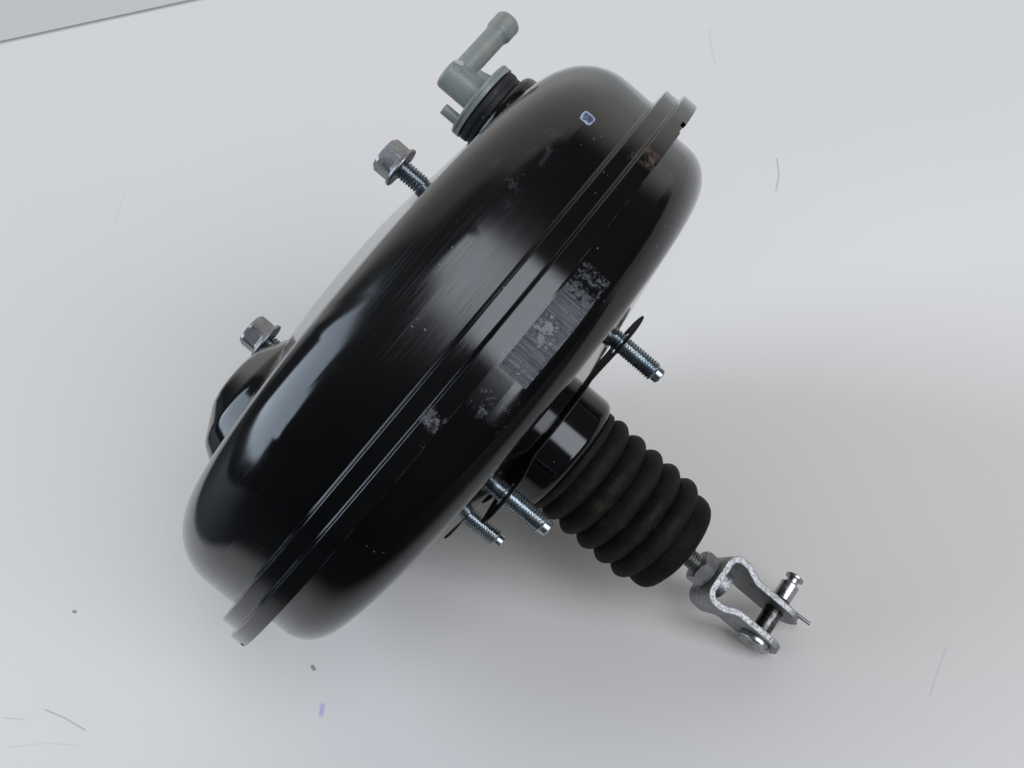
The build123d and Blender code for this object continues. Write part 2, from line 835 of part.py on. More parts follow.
# Dished steel plate that backs the diaphragm
plate_line_back = -piston_flange_front
plate_points = [
    (plate_line_back, piston_hub_radius + seat_gap),
    (plate_line_back, plate_step_radius),
    (plate_line_back - plate_step, plate_step_radius + plate_step * 2),
    (plate_line_back - plate_dish, plate_rim_radius),
    (plate_line_back - plate_dish - plate_rim_turn, plate_rim_radius),
]
with BuildPart() as diaphragm_plate:
    plate_bends = [plate_wall * 2, plate_wall * 2, plate_wall * 3]
    revolve(sheet_section(plate_points, plate_bends, plate_wall), axis=Axis.X)
diaphragm_plate.part.label = "diaphragm_plate"
export_step(diaphragm_plate.part, "parts/diaphragm_plate.step")

# Rolling rubber diaphragm: inner edge on the piston, outer bead clamped at the rim
rubber_back = plate_line_back + rubber_wall + slide_gap
roll_outer = rear_radius - wall - slide_gap * 3
bead_front = band_front + wall + slide_gap
bead_back = flange_front - slide_gap
with BuildPart() as diaphragm:
    rubber_points = [
        (rubber_back, piston_flange_radius + slide_gap),
        (rubber_back, plate_step_radius + slide_gap),
        (rubber_back - plate_step, plate_step_radius + plate_step * 2),
        (rubber_back - plate_dish, plate_rim_radius + rubber_wall * 2),
        (rubber_back - plate_dish - rubber_wall * 2, roll_outer),
        (bead_back, roll_outer),
    ]
    rubber_bends = [plate_wall * 2, plate_wall * 2, rubber_wall * 2, rubber_wall * 3]
    revolve(sheet_section(rubber_points, rubber_bends, rubber_wall), axis=Axis.X)
    bead_web = tube_section(bead_back - rubber_wall, bead_back, roll_outer - rubber_wall, bead_outer)
    revolve(bead_web, axis=Axis.X)
    revolve(tube_section(bead_front, bead_back, bead_inner, bead_outer), axis=Axis.X)
diaphragm.part.label = "diaphragm"
export_step(diaphragm.part, "parts/diaphragm.step")


def wound(front, back, front_radius, back_radius, turns, wire, plane):
    """Coil spring of round wire, wound between two seats along the plane's x direction."""
    points = coil(front + wire, back - wire, front_radius, back_radius, turns, plane)
    with BuildPart() as spring:
        with BuildLine():
            path = Spline(*points)
        with BuildSketch(Plane(origin=path @ 0, z_dir=path % 0)):
            Circle(wire)
        sweep(path=path)
    return spring.part


# Conical return spring from the front stud plate to the diaphragm plate
plate_front = plate_line_back - plate_wall
with BuildPart() as return_spring:
    add(
        wound(
            front_plate_back, plate_front, main_large_radius, main_small_radius,
            main_turns, main_wire, Plane.XY,
        )
    )
return_spring.part.label = "return_spring"
export_step(return_spring.part, "parts/return_spring.step")

# Plunger: nose towards the reaction disc, waist for the key, air valve rim and ball socket
plunger_nose = -reaction_floor + reaction_clear
plunger_waist_front = key_x - slide_gap
plunger_waist_back = key_x + key_thick + valve_travel + slide_gap
with BuildPart() as plunger:
    plunger_outline = [
        (plunger_nose, 0),
        (plunger_nose, plunger_radius),
        (plunger_waist_front, plunger_radius),
        (plunger_waist_front, plunger_waist),
        (plunger_waist_back, plunger_waist),
        (plunger_waist_back, plunger_radius),
        (valve_bore_x + slide_gap + valve_travel, plunger_radius),
        (rod_ball_x, valve_head_radius),
        (valve_seat_x, valve_head_radius),
        (valve_seat_x, 0),
    ]
    revolve(half_section(plunger_outline), axis=Axis.X)
    with Locations((rod_ball_x, 0, 0)):
        Sphere(socket_radius, mode=Mode.SUBTRACT)
    mouth_outline = [
        (rod_ball_x, 0),
        (rod_ball_x, socket_mouth),
        (rod_ball_x + socket_radius, socket_mouth),
        (valve_seat_x, socket_flare),
        (valve_seat_x, 0),
    ]
    revolve(half_section(mouth_outline), axis=Axis.X, mode=Mode.SUBTRACT)
plunger.part.label = "plunger"
export_step(plunger.part, "parts/plunger.step")

# Rubber poppet that seals on both valve seats, with its bead, retainer and two springs
poppet_front = valve_seat_x + slide_gap
poppet_outer = valve_seat_radius + poppet_skin / 2
poppet_sleeve = valve_seat_radius - poppet_skin
bead_start = poppet_back - poppet_bead_length
with BuildPart() as poppet_valve:
    poppet_outline = [
        (poppet_front, poppet_inner_radius),
        (poppet_front + poppet_face, poppet_inner_radius),
        (poppet_front + poppet_face, poppet_sleeve),
        (poppet_back, poppet_sleeve),
        (poppet_back, neck_bore - seat_gap),
        (bead_start, neck_bore - seat_gap),
        (bead_start, poppet_sleeve + poppet_skin),
        (poppet_front + poppet_face, poppet_sleeve + poppet_skin),
        (poppet_front, poppet_outer),
    ]
    revolve(half_section(poppet_outline), axis=Axis.X)
poppet_valve.part.label = "poppet_valve"
export_step(poppet_valve.part, "parts/poppet_valve.step")

with BuildPart() as poppet_retainer:
    retainer_outer = neck_bore - seat_gap
    retainer_outline = [
        (poppet_back, poppet_spring_radius - poppet_wire * 3),
        (poppet_back, retainer_outer),
        (poppet_back + retainer_length, retainer_outer),
        (poppet_back + retainer_length, retainer_outer - retainer_thick),
        (poppet_back + retainer_thick, retainer_outer - retainer_thick),
        (poppet_back + retainer_thick, poppet_spring_radius - poppet_wire * 3),
    ]
    revolve(half_section(retainer_outline), axis=Axis.X)
poppet_retainer.part.label = "poppet_retainer"
export_step(poppet_retainer.part, "parts/poppet_retainer.step")

poppet_spring_front = poppet_front + poppet_face
with BuildPart() as poppet_spring:
    add(
        wound(
            poppet_spring_front, poppet_back, poppet_spring_radius, poppet_spring_radius,
            poppet_turns, poppet_wire, Plane.XY,
        )
    )
poppet_spring.part.label = "poppet_spring"
export_step(poppet_spring.part, "parts/poppet_spring.step")

with BuildPart() as rod_spring:
    add(
        wound(
            poppet_back + retainer_thick, collar_x, rod_spring_large, rod_spring_small,
            rod_spring_turns, rod_wire, Plane.XY,
        )
    )
rod_spring.part.label = "rod_spring"
export_step(rod_spring.part, "parts/rod_spring.step")

# Input rod: ball end in the plunger, collar for its spring, threaded rear end
with BuildPart() as input_rod:
    rod_outline = [
        (rod_ball_x, 0),
        (rod_ball_x, rod_neck_radius),
        (valve_seat_x + poppet_face, rod_neck_radius),
        (valve_seat_x + poppet_face + rod_radius, rod_radius),
        (collar_x, rod_radius),
        (collar_x, collar_radius),
        (collar_x + collar_thick, collar_radius),
        (collar_x + collar_thick, rod_radius),
        (rod_thread_start, rod_radius),
        (rod_thread_start, rod_thread_radius),
        (rod_end - stud_chamfer * 2, rod_thread_radius),
        (rod_end, rod_thread_radius - stud_chamfer * 2),
        (rod_end, 0),
    ]
    revolve(half_section(rod_outline), axis=Axis.X)
    with Locations((rod_ball_x, 0, 0)):
        Sphere(rod_ball_radius)
input_rod.part.label = "input_rod"
export_step(input_rod.part, "parts/input_rod.step")

# Foam air filter and felt silencer in the end of the neck
filter_radius = neck_bore - seat_gap
with BuildPart() as air_filter:
    revolve(tube_section(filter_front, filter_back, filter_bore, filter_radius), axis=Axis.X)
air_filter.part.label = "air_filter"
export_step(air_filter.part, "parts/air_filter.step")
with BuildPart() as air_silencer:
    revolve(tube_section(filter_back, silencer_back, filter_bore, filter_radius), axis=Axis.X)
air_silencer.part.label = "air_silencer"
export_step(air_silencer.part, "parts/air_silencer.step")

# Dust boot: bead and collar in the hub's mouth, five folds and a closed rounded end
boot_half_pitch = boot_pitch / 2
boot_start = hub_length + seat_gap
boot_points = [(boot_start + boot_collar_length, boot_groove_radius)]
for crest in range(boot_crests):
    crest_x = boot_first_crest + crest * boot_pitch
    boot_points.append((crest_x, boot_crest_radius))
    boot_points.append((crest_x + boot_half_pitch, boot_groove_radius))
boot_last = boot_points[-1][0]
boot_points.append((boot_last + boot_half_pitch, boot_end_radius))
boot_points.append((boot_end - boot_end_bend, boot_end_radius))
boot_points.append((boot_end, boot_groove_radius - boot_end_bend))
boot_points.append((boot_end, boot_hole_radius))
boot_bends = [boot_bend] * (2 * boot_crests + 1) + [boot_end_bend / 2, boot_end_bend / 2]
with BuildPart() as dust_boot:
    revolve(sheet_section(boot_points, boot_bends, boot_wall, Side.RIGHT), axis=Axis.X)
    boot_inner = boot_groove_radius - boot_wall
    boot_neck = hub_mouth_radius - seat_gap
    boot_bead_front = seal_back + seat_gap
    boot_collar_outline = [
        (boot_bead_front, boot_inner),
        (boot_bead_front, boot_bead_radius - boot_bead_length / 4),
        (boot_bead_front + boot_bead_length / 4, boot_bead_radius),
        (hub_lip - seat_gap, boot_bead_radius),
        (hub_lip - seat_gap, boot_neck),
        (boot_start, boot_neck),
        (boot_start, boot_collar_radius),
        (boot_start + boot_collar_length, boot_collar_radius),
        (boot_start + boot_collar_length + boot_wall, boot_groove_radius),
        (boot_start + boot_collar_length + boot_wall, boot_inner),
    ]
    revolve(half_section(boot_collar_outline), axis=Axis.X)
dust_boot.part.label = "dust_boot"
export_step(dust_boot.part, "parts/dust_boot.step")

# Clevis bent from strap: base, bulged shoulders, parallel ears and a drawn threaded boss
clevis_mid = (clevis_gap + clevis_wall) / 2
clevis_end = pin_x + clevis_width / 2
clevis_points = [
    (clevis_end, clevis_mid),
    (clevis_ear_start, clevis_mid),
    (clevis_bulge_back, clevis_bulge),
    (clevis_base_x, clevis_bulge),
    (clevis_base_x, -clevis_bulge),
    (clevis_bulge_back, -clevis_bulge),
    (clevis_ear_start, -clevis_mid),
    (clevis_end, -clevis_mid),
]
clevis_bends = [clevis_neck_bend] * 2 + [clevis_bend] * 2 + [clevis_neck_bend] * 2
clevis_front = clevis_base_x - clevis_wall / 2
with BuildPart() as clevis:
    with BuildSketch(clevis_plane):
        with BuildLine():
            FilletPolyline(
                *clevis_points,
                radius=clevis_bends,
            )
            offset(amount=clevis_wall / 2, kind=Kind.INTERSECTION)
        make_face()
    extrude(amount=clevis_width / 2, both=True)
    # Flat pattern of the strap, with the ears rounded about the pin
    with BuildSketch(pin_plane):
        with BuildLine():
            flank = clevis_width / 2
            strap_start = clevis_front - cut_over - pin_x
            Polyline((0, -flank), (strap_start, -flank), (strap_start, flank), (0, flank))
            ThreePointArc((0, flank), (flank, 0), (0, -flank))
        make_face()
    extrude(amount=clevis_bulge + clevis_wall, both=True, mode=Mode.INTERSECT)
    with BuildSketch(Plane.YZ.offset(clevis_base_x)):
        Circle(clevis_boss_radius)
    extrude(amount=clevis_wall / 2 + clevis_boss_length)
    with BuildSketch(Plane.YZ.offset(clevis_front - cut_over)):
        Circle(rod_thread_radius + slide_gap)
    extrude(amount=clevis_wall + clevis_boss_length + 2 * cut_over, mode=Mode.SUBTRACT)
    with BuildSketch(pin_plane):
        Circle(pin_radius + running_gap)
    extrude(amount=clevis_bulge + clevis_wall, both=True, mode=Mode.SUBTRACT)
clevis.part.label = "clevis"
export_step(clevis.part, "parts/clevis.step")

# Lock nut against the clevis base
with BuildPart() as lock_nut:
    lock_back = clevis_front - slide_gap
    lock_front = lock_back - lock_nut_height
    with BuildSketch(Plane.YZ.offset(lock_front)):
        RegularPolygon(nut_corner, 6)
        Circle(rod_thread_radius + running_gap, mode=Mode.SUBTRACT)
    extrude(amount=lock_nut_height)
    lock_outline = [
        (lock_front, 0),
        (lock_front, nut_corner - lock_nut_chamfer),
        (lock_front + lock_nut_chamfer, nut_corner),
        (lock_back - lock_nut_chamfer, nut_corner),
        (lock_back, nut_corner - lock_nut_chamfer),
        (lock_back, 0),
    ]
    revolve(half_section(lock_outline), axis=Axis.X, mode=Mode.INTERSECT)
lock_nut.part.label = "lock_nut"
export_step(lock_nut.part, "parts/lock_nut.step")

# Clevis pin: flat head, bearing length, groove for the clip, waist and mushroom tip
ear_outside = clevis_mid + clevis_wall / 2
pin_section = Plane(origin=pin_origin, x_dir=pin_out, z_dir=pin_side)
clip_spot = ear_outside + seat_gap + clip_wire
with BuildPart() as clevis_pin:
    pin_outline = [
        (-ear_outside - slide_gap - pin_head_thick, 0),
        (-ear_outside - slide_gap - pin_head_thick, pin_head_radius - pin_head_thick / 4),
        (-ear_outside - slide_gap - pin_head_thick * 3 / 4, pin_head_radius),
        (-ear_outside - slide_gap, pin_head_radius),
        (-ear_outside - slide_gap, pin_radius),
        (ear_outside, pin_radius),
        (clip_spot - clip_wire, pin_groove_radius),
        (clip_spot + clip_wire + seat_gap, pin_groove_radius),
        (clip_spot + clip_wire + pin_radius - pin_groove_radius + seat_gap, pin_radius),
        (pin_tip - pin_cap_length - pin_waist_length - pin_end_chamfer, pin_radius),
        (pin_tip - pin_cap_length - pin_waist_length, pin_waist_radius),
        (pin_tip - pin_cap_length, pin_waist_radius),
        (pin_tip - pin_cap_length, pin_cap_radius),
        (pin_tip - pin_cap_length / 2, pin_cap_radius),
        (pin_tip, pin_cap_radius / 2),
        (pin_tip, 0),
    ]
    revolve(half_section(pin_outline, pin_section), axis=pin_axis)
clevis_pin.part.label = "clevis_pin"
export_step(clevis_pin.part, "parts/clevis_pin.step")

# Spring clip: a wire hairpin whose legs straddle the pin's groove
clip_plane = pin_plane.offset(clip_spot)
clip_leg = pin_groove_radius + clip_wire + seat_gap
clip_far = clip_end_x - pin_x
clip_near = clip_loop_x - pin_x
with BuildPart() as pin_clip:
    with BuildLine(clip_plane):
        clip_path = FilletPolyline(
            (clip_far, clip_leg + clip_flare),
            (clip_far - clip_flare_length, clip_leg),
            (clip_near, clip_leg),
            (clip_near, -clip_leg),
            (clip_far - clip_flare_length, -clip_leg),
            (clip_far, -clip_leg - clip_flare / 2),
            radius=clip_loop_radius,
        )
    with BuildSketch(Plane(origin=clip_path @ 0, z_dir=clip_path % 0)):
        Circle(clip_wire)
    sweep(path=clip_path)
pin_clip.part.label = "pin_clip"
export_step(pin_clip.part, "parts/pin_clip.step")

# Rubber grommet in the port boss
grommet_top = boss_top - grommet_height
boss_inside = boss_top + wall
with BuildPart() as port_grommet:
    grommet_outline = [
        (grommet_top, grommet_hole),
        (grommet_top, grommet_radius - grommet_waist),
        (grommet_top + grommet_waist, grommet_radius),
        (boss_top - grommet_height / 2, grommet_radius),
        (boss_top - grommet_height / 2 + grommet_waist, grommet_radius - grommet_waist),
        (boss_top - seat_gap, grommet_radius - grommet_waist),
        (boss_top - seat_gap, grommet_throat),
        (boss_inside + seat_gap, grommet_throat),
        (boss_inside + seat_gap, grommet_bead_radius),
        (boss_inside + grommet_bead_length, grommet_throat),
        (boss_inside + grommet_bead_length, grommet_hole),
    ]
    revolve(half_section(grommet_outline, port_plane), axis=port_axis)
port_grommet.part.label = "port_grommet"
export_step(port_grommet.part, "parts/port_grommet.step")

# Check valve base: spigot in the grommet, lower half of the flange and the valve seat
flange_low = grommet_top - slide_gap
flange_mid = flange_low - elbow_flange_thick / 2
flange_top = flange_low - elbow_flange_thick
spigot_end = flange_low + elbow_spigot_length
seat_x = flange_mid + check_seat_depth
chamber_radius = elbow_body_radius - elbow_wall
with BuildPart() as port_base:
    base_outline = [
        (flange_mid, chamber_radius),
        (flange_mid, elbow_flange_radius),
        (flange_low, elbow_flange_radius),
        (flange_low, grommet_hole - slide_gap),
        (spigot_end - check_cage_thick, grommet_hole - slide_gap),
        (spigot_end, grommet_hole - slide_gap - check_cage_thick),
        (spigot_end, check_seat_radius),
        (seat_x, check_seat_radius),
        (seat_x, chamber_radius),
    ]
    revolve(half_section(base_outline, port_plane), axis=port_axis)
port_base.part.label = "port_base"
export_step(port_base.part, "parts/port_base.step")

# Check valve elbow: upper half of the flange, closed body, hose pipe, web and peg
body_top = flange_top - elbow_body_length
pipe_x = flange_top - pipe_height
pipe_origin = (pipe_x, port_origin[1], port_origin[2])
pipe_axis = Axis(pipe_origin, pipe_out)
pipe_section = Plane(origin=pipe_origin, x_dir=pipe_out, z_dir=pipe_side)
chamber_top = pipe_x - pipe_bore * chamber_end_share
with BuildPart() as port_elbow:
    elbow_outline = [
        (flange_mid, 0),
        (flange_mid, elbow_flange_radius),
        (flange_top, elbow_flange_radius),
        (flange_top, elbow_body_radius),
        (body_top, elbow_body_radius),
        (body_top, 0),
    ]
    revolve(half_section(elbow_outline, port_plane), axis=port_axis)
    fillet(port_elbow.edges().group_by(Axis.X)[0], elbow_end_bend)
    pipe_outline = [
        (0, 0),
        (0, pipe_radius),
        (pipe_reach - barb_length - barb_taper, pipe_radius),
        (pipe_reach - barb_length, barb_radius),
        (pipe_reach - barb_taper / 2, barb_radius),
        (pipe_reach, pipe_radius),
        (pipe_reach, 0),
    ]
    revolve(half_section(pipe_outline, pipe_section), axis=pipe_axis)
    with BuildSketch(web_plane):
        with BuildLine():
            Polyline(
                (flange_top, elbow_body_radius - elbow_wall),
                (flange_top, elbow_body_radius + gusset_reach),
                (pipe_x + pipe_radius - elbow_wall, elbow_body_radius + gusset_reach / 2),
                (pipe_x, elbow_body_radius - elbow_wall),
                close=True,
            )
        make_face()
    extrude(amount=gusset_thick / 2, both=True)
    with BuildSketch(Plane.YZ.offset(flange_top)):
        with PolarLocations(port_radius - peg_offset, 1, start_angle=port_angle):
            Circle(peg_radius)
    extrude(amount=-peg_length)
    chamber_section = tube_section(chamber_top, flange_mid, 0, chamber_radius, port_plane)
    revolve(chamber_section, axis=port_axis, mode=Mode.SUBTRACT)
    bore_section = tube_section(0, pipe_reach, 0, pipe_bore, pipe_section)
    revolve(bore_section, axis=pipe_axis, mode=Mode.SUBTRACT)
port_elbow.part.label = "port_elbow"
export_step(port_elbow.part, "parts/port_elbow.step")

# Check valve disc and its light spring
disc_back = seat_x - slide_gap
disc_front = disc_back - check_disc_thick
with BuildPart() as check_disc:
    revolve(tube_section(disc_front, disc_back, 0, check_disc_radius, port_plane), axis=port_axis)
check_disc.part.label = "check_disc"
export_step(check_disc.part, "parts/check_disc.step")
with BuildPart() as check_spring:
    add(
        wound(
            chamber_top, disc_front, check_spring_radius, check_spring_radius,
            check_turns, check_wire, port_plane,
        )
    )
check_spring.part.label = "check_spring"
export_step(check_spring.part, "parts/check_spring.step")
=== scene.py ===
import json
import math

import bmesh
import bpy
import numpy as np
from mathutils import Matrix, Vector, noise


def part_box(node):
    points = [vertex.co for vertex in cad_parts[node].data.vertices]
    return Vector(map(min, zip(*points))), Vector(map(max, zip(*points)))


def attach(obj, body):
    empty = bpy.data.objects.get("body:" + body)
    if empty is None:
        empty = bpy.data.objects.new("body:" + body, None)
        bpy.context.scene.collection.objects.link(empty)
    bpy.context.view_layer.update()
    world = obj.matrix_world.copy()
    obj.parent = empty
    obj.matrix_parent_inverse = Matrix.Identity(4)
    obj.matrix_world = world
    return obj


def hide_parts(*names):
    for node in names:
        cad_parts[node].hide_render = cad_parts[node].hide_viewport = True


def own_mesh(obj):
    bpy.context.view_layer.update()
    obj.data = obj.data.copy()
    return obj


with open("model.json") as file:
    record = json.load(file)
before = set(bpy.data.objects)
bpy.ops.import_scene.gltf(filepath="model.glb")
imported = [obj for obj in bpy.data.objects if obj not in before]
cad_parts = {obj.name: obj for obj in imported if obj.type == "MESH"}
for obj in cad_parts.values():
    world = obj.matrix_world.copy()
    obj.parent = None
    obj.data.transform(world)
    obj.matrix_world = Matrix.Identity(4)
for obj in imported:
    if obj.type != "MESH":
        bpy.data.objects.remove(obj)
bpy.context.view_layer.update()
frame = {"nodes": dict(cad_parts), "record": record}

NODES = frame["nodes"]
MM = 0.001


def reach(node):
    """Front and back end of a CAD node along the axis, in millimetres."""
    low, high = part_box(node)
    return low.x / MM, high.x / MM


# Small helpers for node trees

class Tree:
    """The node tree of a material or world, with short calls for the nodes used here."""

    def __init__(self, owner, space="Object"):
        owner.use_nodes = True
        self.owner = owner
        self.tree = owner.node_tree
        self.shader = self.tree.nodes.get("Principled BSDF")
        self.coords = self.node("ShaderNodeTexCoord", out=space)

    def put(self, socket, value):
        if isinstance(value, bpy.types.NodeSocket):
            self.tree.links.new(value, socket)
            return
        if isinstance(value, tuple) and len(value) == 3 and len(socket.default_value) == 4:
            value = (*value, 1.0)
        socket.default_value = value

    def set(self, name, value):
        self.put(self.shader.inputs[name], value)

    def node(self, kind, inputs=None, out=0, **settings):
        made = self.tree.nodes.new(kind)
        for key, value in settings.items():
            setattr(made, key, value)
        for key, value in (inputs or {}).items():
            self.put(made.inputs[key], value)
        return made.outputs[out]

    def math(self, operation, a, b=0.0, c=None):
        inputs = {0: a, 1: b}
        if c is not None:
            inputs[2] = c
        return self.node("ShaderNodeMath", inputs, operation=operation)

    def add(self, a, b):
        return self.math("ADD", a, b)

    def mul(self, a, *factors):
        for factor in factors:
            a = self.math("MULTIPLY", a, factor)
        return a

    def less(self, a, b):
        return self.math("SUBTRACT", a, b)

    def span(self, value, low, high, to_low=0.0, to_high=1.0, smooth=False):
        """Maps low..high to to_low..to_high and holds it there."""
        kind = "SMOOTHSTEP" if smooth else "LINEAR"
        inputs = {"Value": value, "From Min": low, "From Max": high, "To Min": to_low, "To Max": to_high}
        return self.node("ShaderNodeMapRange", inputs, clamp=True, interpolation_type=kind)

    def band(self, value, middle, half, soft):
        """One inside middle plus or minus half, and nothing beyond, with soft edges."""
        away = self.math("ABSOLUTE", self.less(value, middle))
        return self.span(away, half, half + soft, 1.0, 0.0, smooth=True)

    def noise(self, scale, detail=4.0, rough=0.55, vector=None, distort=0.0):
        inputs = {"Vector": vector or self.coords, "Scale": scale, "Detail": detail, "Roughness": rough,
                  "Distortion": distort}
        return self.node("ShaderNodeTexNoise", inputs)

    def cells(self, scale):
        return self.node("ShaderNodeTexVoronoi", {"Vector": self.coords, "Scale": scale})

    def mix(self, share, a, b):
        """Colour a where share is nothing, colour b where it is one."""
        return self.node("ShaderNodeMix", {0: share, 6: a, 7: b}, out=2, data_type="RGBA")

    def fade(self, share, a, b):
        """Number a where share is nothing, number b where it is one."""
        return self.node("ShaderNodeMix", {0: share, 2: a, 3: b}, out=0, data_type="FLOAT")

    def join(self, x, y, z):
        return self.node("ShaderNodeCombineXYZ", {0: x, 1: y, 2: z})

    def split(self):
        made = self.tree.nodes.new("ShaderNodeSeparateXYZ")
        self.put(made.inputs[0], self.coords)
        return made.outputs[0], made.outputs[1], made.outputs[2]

    def along(self, way, vector=None):
        """How far a place, or another vector, reaches along a direction."""
        inputs = {0: vector or self.coords, 1: tuple(way)}
        return self.node("ShaderNodeVectorMath", inputs, out="Value", operation="DOT_PRODUCT")

    def distance(self, place):
        inputs = {0: self.coords, 1: place}
        return self.node("ShaderNodeVectorMath", inputs, out="Value", operation="DISTANCE")

    def polar(self):
        """Place along X, angle about the axis (seam on the far side) and distance from it."""
        x, y, z = self.split()
        angle = self.math("ARCTAN2", z, self.mul(y, -1.0))
        radius = self.math("SQRT", self.add(self.mul(y, y), self.mul(z, z)))
        return x, angle, radius

    def line(self, u, v, points):
        """Distance from a drawn line through the points, in the plane of u and v."""
        best = None
        for (au, av), (bu, bv) in zip(points, points[1:]):
            du, dv = bu - au, bv - av
            size = du * du + dv * dv
            a = self.less(u, au)
            b = self.less(v, av)
            run = self.math("MULTIPLY_ADD", a, du / size, self.mul(b, dv / size))
            run = self.math("MINIMUM", self.math("MAXIMUM", run, 0.0), 1.0)
            a = self.math("MULTIPLY_ADD", run, -du, a)
            b = self.math("MULTIPLY_ADD", run, -dv, b)
            away = self.math("SQRT", self.math("MULTIPLY_ADD", a, a, self.mul(b, b)))
            best = away if best is None else self.math("MINIMUM", best, away)
        return best

    def bump(self, height, distance, strength=1.0):
        inputs = {"Height": height, "Distance": distance, "Strength": strength}
        return self.node("ShaderNodeBump", inputs)

    def edges(self, radius=0.0006, low=0.02, high=0.25):
        """One along sharp outer edges, for wear."""
        bevel = self.node("ShaderNodeBevel", {"Radius": radius}, samples=4)
        flat = self.node("ShaderNodeNewGeometry", out="Normal")
        dot = self.node("ShaderNodeVectorMath", {0: bevel, 1: flat}, out="Value", operation="DOT_PRODUCT")
        return self.span(dot, 1.0 - high, 1.0 - low, 1.0, 0.0)


def new_tree(name):
    return Tree(bpy.data.materials.new(name))


# Camera, found by fitting a pinhole camera to the rim, band and hub circles

IMAGE_WIDTH, IMAGE_HEIGHT = 1024, 768
FOCAL_PIXELS = 1051.0
SENSOR_WIDTH = 36.0
CAMERA_PLACE = Vector((-0.0455, -0.4021, -0.1361))
CAMERA_RIGHT = Vector((0.7638, -0.2680, 0.5872)).normalized()
CAMERA_FORWARD = Vector((0.0705, 0.9389, 0.3368)).normalized()
CAMERA_UP = CAMERA_RIGHT.cross(CAMERA_FORWARD).normalized()


def make_camera():
    data = bpy.data.cameras.new("camera")
    data.sensor_width = SENSOR_WIDTH
    data.sensor_fit = "HORIZONTAL"
    data.lens = SENSOR_WIDTH * FOCAL_PIXELS / IMAGE_WIDTH
    data.clip_start = 0.01
    data.clip_end = 20.0
    camera = bpy.data.objects.new("camera", data)
    right = CAMERA_FORWARD.cross(CAMERA_UP).normalized()
    turn = Matrix((right, CAMERA_UP, -CAMERA_FORWARD)).transposed().to_4x4()
    camera.matrix_world = Matrix.Translation(CAMERA_PLACE) @ turn
    bpy.context.scene.collection.objects.link(camera)
    bpy.context.scene.camera = camera


make_camera()
bpy.context.scene.view_settings.view_transform = "Standard"


# Table: its directions across the picture, away from the camera and up, and its level

TABLE_UP = Vector((-0.632, -0.744, 0.219)).normalized()
ACROSS = (CAMERA_RIGHT - TABLE_UP * CAMERA_RIGHT.dot(TABLE_UP)).normalized()
AWAY = TABLE_UP.cross(ACROSS).normalized()
TABLE_GAP = 0.0003


def lowest_point():
    """Lowest point of the object along the table's up direction."""
    up = np.array(TABLE_UP)
    low = 1.0
    for node in NODES.values():
        co = np.empty(len(node.data.vertices) * 3, np.float32)
        node.data.vertices.foreach_get("co", co)
        low = min(low, float((co.reshape(-1, 3) @ up).min()))
    return low


TABLE_LEVEL = lowest_point() - TABLE_GAP


def on_table(pixel):
    """Where a pixel of the photograph falls on the table, across and away."""
    right = (pixel[0] - IMAGE_WIDTH / 2) / FOCAL_PIXELS
    down = (pixel[1] - IMAGE_HEIGHT / 2) / FOCAL_PIXELS
    ray = CAMERA_FORWARD + CAMERA_RIGHT * right - CAMERA_UP * down
    run = (TABLE_LEVEL - CAMERA_PLACE.dot(TABLE_UP)) / ray.dot(TABLE_UP)
    place = CAMERA_PLACE + ray * run
    return place.dot(ACROSS), place.dot(AWAY)


# Pen lines, scuffs and crumbs: pixels of the photograph, half width in metres, colour and strength
BENCH_MARKS = [
    ([(776.9, 158.6), (778.9, 174.7), (775.9, 190.7)], 0.0006, (0.36, 0.36, 0.37), 0.8),
    ([(709.2, 27.9), (711.1, 46.0), (715.2, 64.1)], 0.0005, (0.45, 0.45, 0.46), 0.6),
    ([(45.1, 709.9), (63.0, 717.0), (84.9, 730.0)], 0.00035, (0.3, 0.3, 0.32), 0.75),
    ([(5.5, 717.8), (25.3, 719.8)], 0.00035, (0.4, 0.4, 0.41), 0.6),
    ([(7.6, 747.8), (45.3, 742.8), (81.0, 745.9)], 0.0003, (0.46, 0.46, 0.47), 0.5),
    ([(322.4, 705.3), (321.3, 714.3)], 0.0012, (0.34, 0.32, 0.58), 0.7),
    ([(123.7, 195.6), (119.7, 207.7), (115.7, 220.7)], 0.0006, (0.46, 0.46, 0.47), 0.45),
    ([(946.4, 647.1), (938.5, 669.0), (929.6, 696.8)], 0.0004, (0.48, 0.48, 0.49), 0.45),
    ([(312.2, 666.4), (314.3, 669.3)], 0.0009, (0.12, 0.12, 0.12), 0.8),
    ([(73.5, 611.2), (75.6, 612.1)], 0.0009, (0.14, 0.14, 0.14), 0.8),
]

# The bench's far edge is where the sum of across and away times these shares reaches this distance
FAR_EDGE_SHARES = (-0.154, 0.988)
FAR_EDGE = 0.826
# Direction towards the left edge, past which the room is dark
LEFT_SHARES = (0.934, 0.357)
TABLE_LEFT, TABLE_RIGHT, TABLE_NEAR = -1.6, 1.8, -0.6


def far_edge(across):
    return (FAR_EDGE - FAR_EDGE_SHARES[0] * across) / FAR_EDGE_SHARES[1]


